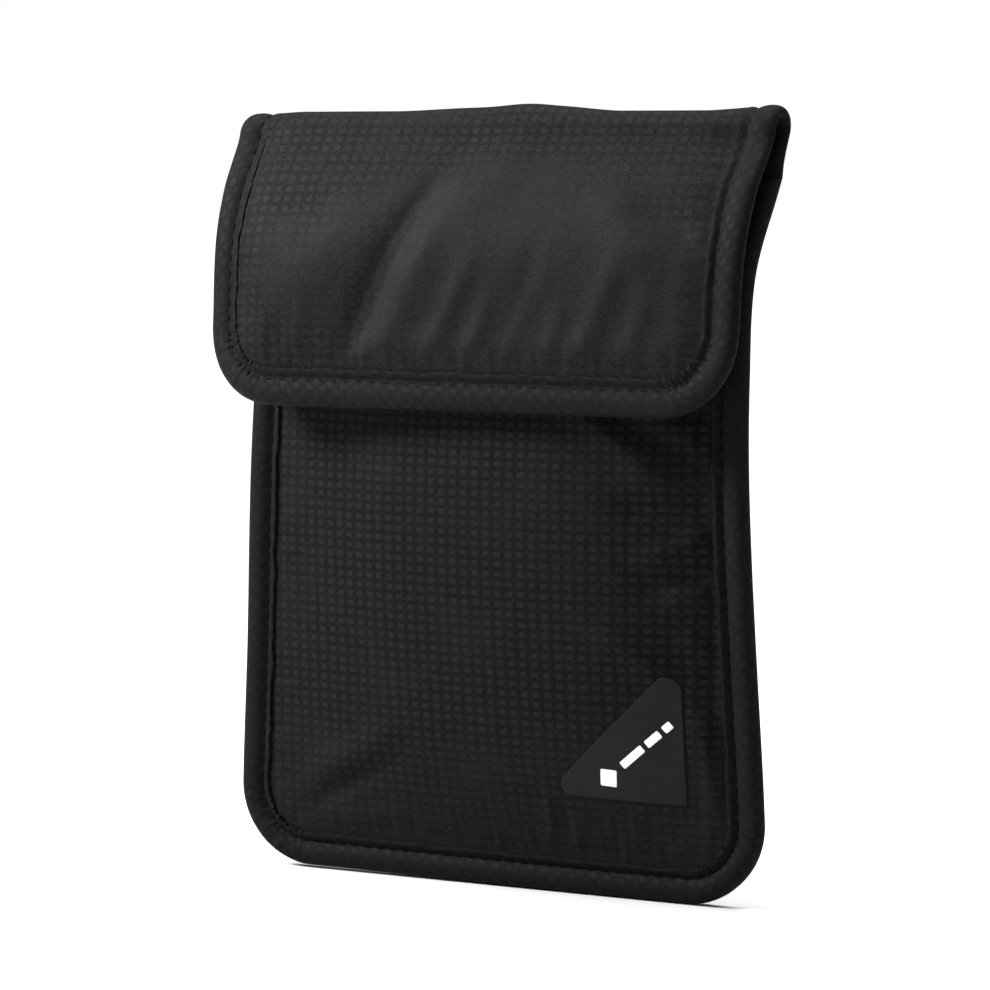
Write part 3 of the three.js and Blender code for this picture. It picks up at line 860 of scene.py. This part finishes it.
# ---------- Bound edges ----------
def edge_path(side, top, step=0.7):
    """The bound edge from the top left, round the lower corners, to the top right: its points, the
    way inwards, and how sharply it bends, from 0 to 1."""
    corner_x = float(side(CORNER)) - CORNER
    flat = spread(0, corner_x, step)
    turn = np.linspace(0, math.pi / 2, 46)[1:]
    up = spread(CORNER, top, step)[1:]
    x = np.concatenate([flat, corner_x + CORNER * np.sin(turn), side(up)])
    s = np.concatenate([0 * flat, CORNER - CORNER * np.cos(turn), up])
    in_x = np.concatenate([0 * flat, -np.sin(turn), -1 + 0 * up])
    in_s = np.concatenate([1 + 0 * flat, np.cos(turn), 0 * up])
    bend = np.concatenate([0 * flat, np.sin(2 * turn) ** 0.5, 0 * up])

    def mirrored(values, sign):
        return np.concatenate([sign * values[:0:-1], values])

    return tuple(mirrored(v, k) for v, k in ((x, -1), (s, 1), (in_x, -1), (in_s, 1), (bend, 1)))


# Half of the tape's outer line, from its fold: distance from the fold, and share of its half
# thickness. It is puffed, dips under the stitches and ends in a raised lip.
TAPE_LINE = [
    (0.0, 0.0), (0.12, 0.3), (0.45, 0.58), (1.0, 0.8), (1.8, 0.95), (2.8, 1.0), (3.8, 0.97), (4.7, 0.86),
    (5.4, 0.7), (5.9, 0.53), (6.3, 0.45), (6.7, 0.52), (7.1, 0.68), (7.6, 0.83), (8.1, 0.88), (8.42, 0.84),
    (8.5, 0.74),
]


def bound_edge(name, path, place, half, ply, seed, width=BINDING_WIDTH, start=0.0):
    """A tape folded over an edge, puffed and puckered, most of all round the corners. ply is the
    tape's own thickness, and start is how much of the same tape comes before it."""
    x, s, in_x, in_s, bend = path
    run = start + distance(x, s)
    reach, share = np.array(TAPE_LINE).T
    reach = reach * width / BINDING_WIDTH
    reach = np.concatenate([reach[:0:-1], reach])
    share = np.concatenate([-share[:0:-1], share])
    inner_reach = np.maximum(reach, ply)
    inner_share = np.where(reach < ply, share * 0.3, share - np.sign(share) * ply / half)
    p = np.concatenate([reach, inner_reach[::-1]])[None, :]
    q = np.concatenate([share, inner_share[::-1]])[None, :] * half
    along = run[:, None]
    corner = bend[:, None]
    puff = np.exp(-(((p - 2.8) / 2.2) ** 2))
    lip = smooth(6.8, 8.2, p)
    ripple = wander(along * 1.15 + 0.3 * np.sign(q), seed)
    slow = wander(along * 0.21, seed + 3)
    crease = np.abs(wander(along * 0.75, seed + 1)) * 2 - 1
    swell = puff * (0.035 * slow + (0.02 + 0.09 * corner) * ripple)
    ridge = lip * (0.05 * ripple + 0.12 * corner * crease)
    q = q * (1 + swell + ridge)
    p = p + lip * (0.12 * wander(along * 0.8, seed + 2) + 0.3 * wander(along * 0.33, seed + 6))
    pleat = corner * wander(along * 2.5, seed + 4) * smooth(4.6, 6.4, p)
    p = p + 0.3 * pleat
    q = q * (1 + 0.22 * pleat)
    points = place(x[:, None] + in_x[:, None] * p, s[:, None] + in_s[:, None] * p, q)
    girth = distance(reach, share * half)
    girth = np.concatenate([girth, girth[::-1]])
    return sweep_piece(name, points, binding_cloth, joined(along, girth[None, :]))


def stitch_line(path, inset, depth):
    """A line of stitches beside an edge, for stitches()."""
    x, s, in_x, in_s, _ = path
    return x + in_x * inset, s + in_s * inset, depth


def both_faces(path, half):
    """Lines of stitches along a tape's two faces."""
    groove = half * GROOVE + 0.05
    return [stitch_line(path, STITCH_INSET, side * groove) for side in (1, -1)]


body_path = edge_path(half_width, BINDING_TOP)
body_binding = bound_edge("body_bound_edge", body_path, body_place, BODY_HALF, 0.45, 1)
put(body_binding, "pouch", "binding", "body_binding")
body_stitching = stitches("body_stitching", both_faces(body_path, BODY_HALF), body_place)
put(body_stitching, "pouch", "binding")


def flap_edge_place(x, run, away):
    """The flap's tape is drawn flatter where it runs over the fold."""
    return flap_place(x, run, away * (1 - 0.25 * smooth(FRONT_RUN - 16, FRONT_RUN + 4, run)))


flap_path = edge_path(flap_side, FLAP_RUN)


def flap_edge_part(name, kept, start):
    """A stretch of the flap's tape with its stitches."""
    path = tuple(values[kept] for values in flap_path)
    tape = bound_edge(name, path, flap_edge_place, FLAP_BINDING_HALF, 0.4, 5, FLAP_TAPE_WIDTH, start)
    return tape, stitches(f"{name}_stitching", both_faces(path, FLAP_BINDING_HALF), flap_edge_place)


# The tape's ends on the back stay with the pouch. The rest runs over the fold.
turned = np.flatnonzero(flap_path[1] <= SPLIT_RUN)
first, last = turned[0] - 1, turned[-1] + 1
flap_binding, flap_stitching = flap_edge_part("flap_bound_edge", slice(first, last + 1), BACK_RUN)
put_over_fold(flap_binding, "binding", "flap_binding")
put_over_fold(flap_stitching, "binding")
tail_pieces = []
for side, kept in (("left", slice(0, first + 1)), ("right", slice(last, None))):
    tail, tail_stitching = flap_edge_part(f"flap_edge_tail_{side}", kept, 0.0)
    put(tail, "pouch", "binding", f"flap_binding_tail_{side}")
    put(tail_stitching, "pouch", "binding")
    tail_pieces += [tail, tail_stitching]


# ---------- Flap ----------
def flap_sheet(name, low, high, outer, inner, material, inset=SEAM_INSET, step=0.8):
    """A layer of the flap between two rows."""
    run = spread(low, high, step)[:, None]
    u = np.linspace(-1, 1, int(144 / step) + 1)[None, :]
    x = u * outline(flap_side(run), run, inset)
    run = run + 0 * u
    return sheet_piece(name, outer(x, run), inner(x, run), material, joined(x, run))


def flap_outer_face(x, run):
    return flap_layer(x, run, FLAP_HALF + flap_cloth_lift(x, run))


def flap_inside(x, run):
    return flap_layer(x, run, FLAP_HALF - CLOTH + flap_cloth_lift(x, run))


def flap_level(away):
    """A smooth layer at one distance from the flap's middle surface."""
    return lambda x, run: flap_layer(x, run, away)


def outer_part(name, low, high):
    return flap_sheet(name, low, high, flap_outer_face, flap_inside, flap_finish)


def lining_part(name, low, high):
    faces = flap_level(-FLAP_HALF), flap_level(CLOTH - FLAP_HALF)
    return flap_sheet(name, low, high, *faces, lining_finish, step=1.2)


flap_cloth = outer_part("flap_cloth", SEAM_INSET, SPLIT_RUN)
put_over_fold(flap_cloth, "outer_cloth", "flap_outer", "flap_fold")
flap_back_cloth = put(outer_part("flap_back_cloth", SPLIT_RUN, FLAP_RUN), "pouch", "outer_cloth")
flap_foam = flap_sheet(
    "flap_foam", 3, FRONT_RUN + 2, flap_level(0.6), flap_level(-0.6), foam_finish, inset=3, step=2.0
)
put_over_fold(flap_foam, "foam", "flap_padding")
flap_lining = lining_part("flap_inner_cloth", SEAM_INSET, SPLIT_RUN)
put_over_fold(flap_lining, "lining", "flap_lining")
flap_back_lining = put(lining_part("flap_back_inner_cloth", SPLIT_RUN, FLAP_RUN), "pouch", "lining")

# The mouth of the main compartment, its tape folded over the front wall's top edge.
MOUTH_WIDTH = 6
MOUTH_EDGE = MOUTH_Z + 1.4
MOUTH_REACH = 62
MOUTH_HALF = 1.0


def mouth_place(x, z, q):
    return joined(x, front_face(x, z) + CLOTH / 2 - q, z)


mouth_x = spread(-MOUTH_REACH, MOUTH_REACH, 0.7)
still = 0 * mouth_x
mouth_path = (mouth_x, still + MOUTH_EDGE, still, still - 1, still)
mouth_binding = bound_edge("mouth_bound_edge", mouth_path, mouth_place, MOUTH_HALF, 0.2, 9, MOUTH_WIDTH)
put(mouth_binding, "pouch", "binding", "mouth_binding")
mouth_row = stitch_line(mouth_path, STITCH_INSET * MOUTH_WIDTH / BINDING_WIDTH, MOUTH_HALF * GROOVE)
mouth_stitching = put(stitches("mouth_stitching", [mouth_row], mouth_place), "pouch", "binding")


# ---------- Patches ----------
def rounded(corners, radii):
    """The outline of a convex polygon with round corners."""
    corners = np.array(corners, float)
    t = np.linspace(0, 1, 7)[:, None]
    arcs = []
    for i, (corner, radius) in enumerate(zip(corners, radii)):
        back = unit(corners[i - 1] - corner)
        ahead = unit(corners[(i + 1) % len(corners)] - corner)
        half = math.acos(back @ ahead) / 2
        centre = corner + unit(back + ahead) * radius / math.sin(half)
        start = corner + back * radius / math.tan(half) - centre
        end = corner + ahead * radius / math.tan(half) - centre
        arcs.append(centre + unit(start * (1 - t) + end * t) * radius)
    return np.concatenate(arcs)


def filled_in(points, step=1.5):
    """More points along the straight stretches of a closed outline."""
    ahead = np.roll(points, -1, axis=0)
    parts = []
    for a, b in zip(points, ahead):
        count = max(1, int(np.hypot(*(b - a)) / step))
        parts.append(a + (b - a) * np.arange(count)[:, None] / count)
    return np.concatenate(parts)


def patch_piece(name, points, place, lift, thickness, material, rings=10):
    """A thin plate with a rounded edge that follows a surface."""
    points = filled_in(points)
    middle = points.mean(0)
    inner = np.linspace(0.02, 0.94, rings)
    share = np.concatenate([inner, [0.975, 0.995, 1.0, 1.0, 0.98], inner[::-1]])
    top = np.concatenate([inner * 0 + 1, [0.97, 0.8, 0.5, 0.15, 0.0], inner * 0])
    flat = middle + (points - middle) * share[:, None, None]
    height = lift + thickness * top[:, None] + 0 * flat[..., 0]
    return sweep_piece(name, place(flat[..., 0], flat[..., 1], height), material, uv=flat)


def rectangle(centre, width, height, radius, turn=0.0):
    """A rectangle with round corners, turned about its centre."""
    c, s = math.cos(turn), math.sin(turn)
    halves = [(a * width / 2, b * height / 2) for a, b in ((-1, -1), (1, -1), (1, 1), (-1, 1))]
    corners = [(centre[0] + c * x - s * z, centre[1] + s * x + c * z) for x, z in halves]
    return rounded(corners, [radius] * 4)


PATCH_LIFT = 0.02
PATCH_THICKNESS = 0.5

# The label: a triangle whose long side faces up and left.
LABEL = [(18.9, 25.2), (54.4, 24.0), (53.4, 59.8)]
LABEL_RADII = (2.6, 1.2, 3.4)
LABEL_THICKNESS = 0.28
label_outline = rounded(LABEL, LABEL_RADII)
label_film = patch_piece(
    "label_film", label_outline, front_place, PATCH_LIFT, LABEL_THICKNESS, label_finish, rings=22
)
put(label_film, "pouch", "label", "label_patch")

# A plain mark of a diamond and three bars, printed along the label's long side.
MARK_START = np.array([35.2, 30.0])
MARK_TURN = math.radians(41)
MARK_LIFT = PATCH_LIFT + 0.24
MARK_THICKNESS = 0.1
BAR_HEIGHT = 2.0
mark_way = np.array([math.cos(MARK_TURN), math.sin(MARK_TURN)])


def mark(part, along, width, height, turn):
    """One shape of the mark, along millimetres from its start."""
    shape = rectangle(MARK_START + mark_way * along, width, height, 0.35, MARK_TURN + turn)
    piece = patch_piece(
        f"label_mark_{part}", shape, front_place, MARK_LIFT, MARK_THICKNESS, print_finish, rings=5
    )
    put(piece, "pouch", "label")


mark("diamond", 0, 4.1, 4.1, math.pi / 4)
for part, along, width in (("bar_long", 8.3, 7.0), ("bar_middle", 15.2, 4.4), ("bar_short", 19.8, 2.4)):
    mark(part, along, width, BAR_HEIGHT, 0)

# The hook and loop closure.
rng = np.random.default_rng(7)
LOOP_AT, LOOP_SIZE = (0, 131), (60, 14)
HOOK_AT, HOOK_SIZE = (0, 14.5), (56, 10)


def lining_place(x, run, lift):
    return flap_layer(x, run, -FLAP_HALF - lift)


def closure_base(name, at, size, place, finish):
    shape = rectangle(at, *size, 1.5)
    return patch_piece(name, shape, place, PATCH_LIFT, PATCH_THICKNESS, finish)


loop_base = closure_base("loop_base", LOOP_AT, LOOP_SIZE, front_place, loop_finish)
put(loop_base, "pouch", "hook_and_loop", "loop_patch")
hook_base = closure_base("hook_base", HOOK_AT, HOOK_SIZE, lining_place, hook_finish)
put(hook_base, "flap", "hook_and_loop", "hook_patch")


def scattered(centre, size, pitch, margin, loose):
    """Places in rows over a rectangle, each moved by up to loose."""
    across = spread(-size[0] / 2 + margin, size[0] / 2 - margin, pitch)
    up = spread(-size[1] / 2 + margin, size[1] / 2 - margin, pitch)
    x, z = (g.ravel() for g in np.meshgrid(across, up))
    shift = rng.uniform(-loose, loose, (2, len(x)))
    return centre[0] + x + shift[0], centre[1] + z + shift[1]


def pile(name, place, x, z, turn, shape, radius, material):
    """Small bent threads that stand on a patch. shape lists (along, height) in mm."""
    along, height = np.array(shape).T
    px = x[:, None] + np.cos(turn)[:, None] * along
    pz = z[:, None] + np.sin(turn)[:, None] * along
    centres = place(px, pz, PATCH_THICKNESS + height + 0 * px)
    ups = joined(-np.sin(turn), 0, np.cos(turn))[:, None, :] + 0 * centres
    return many_tubes(name, centres, radius, ups, material, sides=5)


LOOP_SHAPE = [(-0.35, -0.1), (-0.5, 0.25), (-0.2, 0.55), (0.2, 0.55), (0.5, 0.25), (0.35, -0.1)]
HOOK_SHAPE = [(0, -0.1), (0, 0.35), (0.12, 0.62), (0.35, 0.68), (0.5, 0.5), (0.5, 0.38)]
loop_x, loop_z = scattered(LOOP_AT, LOOP_SIZE, 1.05, 1.4, 0.3)
loop_turn = rng.uniform(0, math.pi, len(loop_x))
loops = pile("loop_pile", front_place, loop_x, loop_z, loop_turn, LOOP_SHAPE, 0.07, loop_finish)
put(loops, "pouch", "hook_and_loop")
hook_x, hook_z = scattered(HOOK_AT, HOOK_SIZE, 1.25, 1.2, 0.0)
hook_turn = np.full(len(hook_x), math.pi / 2)
hooks = pile("hook_pile", lining_place, hook_x, hook_z, hook_turn, HOOK_SHAPE, 0.09, hook_finish)
put(hooks, "flap", "hook_and_loop")


def patch_stitching(name, centre, size, margin, place, body):
    """Four straight lines of stitches inside a patch's sides."""
    w, h = size[0] / 2 - margin, size[1] / 2 - margin
    across, up = spread(-w, w, 1.0), spread(-h, h, 1.0)
    depth = PATCH_LIFT + PATCH_THICKNESS
    lines = []
    for side in (-1, 1):
        lines.append((centre[0] + across, centre[1] + side * h + 0 * across, depth))
        lines.append((centre[0] + side * w + 0 * up, centre[1] + up, depth))
    put(stitches(name, lines, place, length=2.2, pitch=3.0, radius=0.2), body, "hook_and_loop")


patch_stitching("loop_patch_stitching", LOOP_AT, LOOP_SIZE, 0.8, front_place, "pouch")
patch_stitching("hook_patch_stitching", HOOK_AT, HOOK_SIZE, 0.7, lining_place, "flap")


# ---------- Zip ----------
zip_reach = 7
zip_rise = float(plain_front(0, ZIP_Z + zip_reach) - plain_front(0, ZIP_Z - zip_reach))
zip_tilt = math.atan2(zip_rise, 2 * zip_reach)
zip_face_y = float(plain_front(0, ZIP_Z))


def zip_place(x, up, depth):
    """A point of the zip: up its slope, and depth behind its face."""
    y = zip_face_y + depth * math.cos(zip_tilt) + up * math.sin(zip_tilt)
    z = ZIP_Z - depth * math.sin(zip_tilt) + up * math.cos(zip_tilt)
    return joined(x, y, z)


def zip_sunk(x, up, depth):
    """The same for the tapes and coils, which follow the front wall back towards the side seams."""
    points = zip_place(x, up, depth)
    face_y = zip_face_y + up * math.sin(zip_tilt)
    points[..., 1] += np.maximum(plain_front(points[..., 0], points[..., 2]) - face_y, 0)
    return points


def tape_depth(up):
    """A tape lies behind its coil, and then against the cloth it is sewn to."""
    return between(1.1, 0.6, smooth(2.6, 4.6, np.abs(up)))


TAPE_THICKNESS = 0.35
ZIP_TAPE_END = 61.5
ZIP_TAPE_REACH = 11.8
COIL_PITCH = 1.7
COIL_TURNS = 72
BACKWARDS = np.array([0.0, 1.0, 0.0])


def zip_side(side, sign, shift):
    """One tape with its coil. The two coils mesh half a pitch apart."""
    x = spread(-ZIP_TAPE_END, ZIP_TAPE_END, 0.8)[None, :]
    up = sign * spread(1.5, ZIP_TAPE_REACH, 0.5)[:, None]
    faces = [zip_sunk(x, up, tape_depth(up) + deeper) for deeper in (0, TAPE_THICKNESS)]
    tape = sheet_piece(f"zip_tape_{side}_cloth", *faces, tape_finish, joined(x, up))
    put(tape, "pouch", "zip_nylon", f"zip_tape_{side}")
    turn = np.linspace(0, 2 * math.pi * COIL_TURNS, COIL_TURNS * 12)
    coil_x = (turn / (2 * math.pi) - COIL_TURNS / 2 + shift) * COIL_PITCH
    centre = zip_sunk(coil_x, sign * (1.0 + 1.5 * np.cos(turn)), 0.55 + 0.32 * np.sin(turn))
    coil = many_tubes(f"zip_coil_{side}", centre[None], 0.29, np.array([0.0, 1.0, 0.3]), coil_finish)
    put(coil, "pouch", "zip_nylon")
    return tape


zip_tape_pieces = [zip_side("upper", 1, 0.0), zip_side("lower", -1, 0.5)]

stop_up = np.linspace(-2.3, 2.3, 9)
stop_lines = np.stack([zip_place(side * (ZIP_HALF_LENGTH - 1.4), stop_up, 0.3) for side in (-1, 1)])
stop_radii = 0.75 * np.sqrt(np.clip(1 - (stop_up / 2.5) ** 4, 0.05, 1))
stops = many_tubes("zip_stops", stop_lines, stop_radii, BACKWARDS, metal_finish, sides=10)
put(stops, "pouch", "zip_metal")


def softened(name, node, width, material):
    """A CAD part with its edges rounded."""
    solid = next(o for o in bpy.data.objects if o.get("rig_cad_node") == node or o.name == node)
    piece = new_object(name, solid.data.copy())
    bevel = piece.modifiers.new("round", "BEVEL")
    bevel.width = width * MM
    bevel.segments = 3
    bevel.limit_method = "ANGLE"
    bevel.angle_limit = math.radians(35)
    graph = bpy.context.evaluated_depsgraph_get()
    mesh = bpy.data.meshes.new_from_object(piece.evaluated_get(graph))
    piece.modifiers.clear()
    piece.data = mesh
    mesh.name = name
    shade(mesh, 40)
    mesh.materials.clear()
    mesh.materials.append(material)
    return piece


slider = softened("zip_slider_body", "zip_slider", 0.35, metal_finish)
put(slider, "slider", "zip_metal", "zip_slider")
puller = softened("zip_puller_tag", "zip_puller", 0.22, metal_finish)
put(puller, "puller", "zip_metal", "zip_puller")

# Three ribs across the puller, for the fingers.
SLIDER_X = 40
RIB_REACH = 1.7
rib_share = np.linspace(-1, 1, 7)  # from one end of a rib to the other
ribs = np.stack([zip_place(SLIDER_X + RIB_REACH * rib_share, up, -2.5) for up in (-6.5, -8.5, -10.5)])
rib_radii = 0.28 * np.sqrt(np.clip(1 - rib_share**4, 0.1, 1))
put(many_tubes("zip_puller_grip", ribs, rib_radii, BACKWARDS, metal_finish), "puller", "zip_metal")

row_x = spread(-ZIP_TAPE_END, ZIP_TAPE_END, 1.0)
zip_rows = [(row_x, z + 0 * row_x, 0.02) for z in (zip_low - 1.6, zip_high + 1.6)]
zip_stitching = stitches("zip_stitching", zip_rows, front_place, length=2.3, pitch=3.1, radius=0.2)
put(zip_stitching, "pouch", "outer_cloth")


# ---------- Strap anchors ----------
TAB_WIDTH = 9
WEBBING = 0.85  # thickness
RING_PIVOT_Z = 170
RING_WIRE = 2.0
RING_SIZE = (19, 12)
RING_CORNER = 2.2
ANCHOR_X = 52
# The webbing's middle line round the ring's bar, back and up from the bar's centre.
TAB_LINE = [
    (-2.25, 10.5), (-2.25, 8), (-2.25, 4), (-2.25, 1), (-2.1, -0.8), (-1.5, -1.7), (0, -2.2), (1.5, -1.7),
    (2.2, -0.3), (2.1, 1.0), (1.3, 2.2), (0.1, 3.1), (-0.9, 4.2), (-1.3, 6), (-1.35, 8), (-1.35, 10.5),
]


def strip_piece(name, x_middle, line, width, thickness, material):
    """A flat strip of webbing along a line of (y, z) points."""
    out = outwards(unit(np.gradient(line, axis=0)))
    w, t, r = width / 2, thickness / 2, thickness * 0.3
    half = [(-w, -t + r), (-w + r, -t), (w - r, -t), (w, -t + r)]
    section = filled_in(np.array(half + [(-x, -y) for x, y in half]), 1.0)
    x = x_middle + section[:, 0] + 0 * line[:, :1]
    yz = line[:, None] + out[:, None] * section[None, :, 1:]
    uv = joined(section[:, 0], distance(*line.T)[:, None])
    return sweep_piece(name, np.concatenate([x[..., None], yz], -1), material, uv)


def finer(points, count):
    """A smooth line through points, with count points spaced evenly by their order."""
    points = np.array(points, float)
    order = np.arange(len(points))
    at = np.linspace(0, len(points) - 1, count)
    return np.stack([through(list(zip(order, column)))(at) for column in points.T], -1)


def strap_tab(side, x, ring_y):
    """Webbing round the ring's bar, sewn down with a crossed box."""
    line = finer(TAB_LINE, 90) + (ring_y, RING_PIVOT_Z)
    line[:, 0] += lean(line[:, 1])
    tab = strip_piece(f"strap_tab_{side}_webbing", x, line, TAB_WIDTH, WEBBING, webbing_finish)
    put(tab, "pouch", "webbing", f"strap_tab_{side}")

    def tab_place(across, up, depth):
        return joined(x + across, ring_y - 1.35 + WEBBING / 2 + depth + lean(up), up)

    reach = TAB_WIDTH / 2 - 0.9
    low, high = RING_PIVOT_Z + 5.6, RING_PIVOT_Z + 9.8
    a, b, c, d = (-reach, low), (reach, low), (reach, high), (-reach, high)
    runs = ((a, b), (b, c), (c, d), (d, a), (a, c), (b, d))
    lines = [(*np.linspace(start, end, 12).T, 0.03) for start, end in runs]
    sewn = stitches(f"strap_tab_{side}_stitching", lines, tab_place, length=1.25, pitch=1.7, radius=0.2)
    put(sewn, "pouch", "webbing")


def strap_ring(side, x, ring_y):
    """A rounded rectangle of moulded wire."""
    width, height = RING_SIZE[0] - RING_WIRE, RING_SIZE[1] - RING_WIRE
    path = filled_in(rectangle((x, RING_PIVOT_Z - height / 2), width, height, RING_CORNER), 0.8)
    out = outwards(unit(np.roll(path, -1, axis=0) - np.roll(path, 1, axis=0)))
    turn = np.linspace(0, 2 * math.pi, 14, endpoint=False)
    radius = RING_WIRE / 2
    flat = path[:, None] + out[:, None] * (radius * np.cos(turn))[:, None]
    rings = joined(flat[..., 0], ring_y + radius * np.sin(turn), flat[..., 1])
    ring = sweep_piece(f"strap_ring_{side}_moulding", rings, ring_finish, closed=True)
    put(ring, f"ring_{side}", "ring_plastic", f"strap_ring_{side}")


for side, x in (("left", -ANCHOR_X), ("right", ANCHOR_X)):
    low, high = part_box(f"strap_ring_{side}")
    ring_y = (low[1] + high[1]) / 2 / MM
    strap_tab(side, x, ring_y)
    strap_ring(side, x, ring_y)

# The seam on the back where the flap's cloth meets the back cloth.
join_x = spread(-MOUTH_REACH, MOUTH_REACH, 1.0)
join_row = (join_x, FLAP_RUN - 1.6 + 0 * join_x, FLAP_HALF + 0.02)
join_stitching = put(stitches("back_join_stitching", [join_row], flap_layer), "pouch", "outer_cloth")


# ---------- Camera, floor and light ----------
def look(azimuth, distance, height, pitch, yaw, roll, lens):
    """A camera on the side of +X from straight on, turned by small angles in degrees."""
    camera = new_object("camera", bpy.data.cameras.new("camera"))
    camera.data.lens = lens
    camera.data.sensor_width = 36
    camera.data.clip_end = 50
    side = math.radians(azimuth)
    camera.location = (distance * math.sin(side), -distance * math.cos(side), height)
    camera.rotation_euler = (math.radians(90 - pitch), math.radians(roll), math.radians(azimuth + yaw))
    bpy.context.scene.camera = camera


look(azimuth=29.6, distance=1.018, height=0.181, pitch=4.78, yaw=-0.02, roll=0.02, lens=153)


def floor(reach):
    """White paper with a faint cloudiness."""
    mesh = bpy.data.meshes.new("floor")
    corners = [(-reach, -reach, 0), (reach, -reach, 0), (reach, reach, 0), (-reach, reach, 0)]
    mesh.from_pydata(corners, [], [(0, 1, 2, 3)])
    f = Finish("floor_white", 0.9, specular=0.05)
    tone = f.ramp(f.noise(400), 0.3, 0.7)
    mesh.materials.append(f.finish(f.mixed(tone, (0.6, 0.6, 0.6), (0.63, 0.63, 0.63))))
    piece = new_object("floor", mesh)


def lamp(name, kind, place, aim, power, size):
    """A sun, whose size is an angle in degrees, or a round lamp, whose size is in metres."""
    light = bpy.data.lights.new(name, kind)
    light.energy = power
    if kind == "SUN":
        light.angle = math.radians(size)
    else:
        light.shape = "DISK"
        light.size = size
    holder = new_object(name, light)
    holder.location = place
    way = np.array(aim, float) - place
    flat = math.hypot(way[0], way[1])
    holder.rotation_euler = (math.atan2(flat, -way[2]), 0, math.atan2(way[1], way[0]) - math.pi / 2)


def surroundings(fill):
    """A white studio: what the camera sees of it is white, and it fills the shadows softly."""
    world = bpy.data.worlds.new("studio")
    world.use_nodes = True
    tree = world.node_tree
    background = tree.nodes["Background"]
    background.inputs["Color"].default_value = (1, 1, 1, 1)
    seen = tree.nodes.new("ShaderNodeLightPath")
    strength = tree.nodes.new("ShaderNodeMapRange")
    strength.inputs["To Min"].default_value = fill
    strength.inputs["To Max"].default_value = 1.0
    tree.links.new(seen.outputs["Is Camera Ray"], strength.inputs["Value"])
    tree.links.new(strength.outputs[0], background.inputs["Strength"])
    bpy.context.scene.world = world
    bpy.context.scene.view_settings.view_transform = "Standard"


floor(reach=8.0)
surroundings(fill=0.12)
lamp("key", "AREA", (-0.4, -0.27, 0.42), (0, 0, 0.1), 8.4, 0.2)
lamp("top", "SUN", (-0.05, 0.15, 1.0), (0, 0, 0), 6.2, 45)
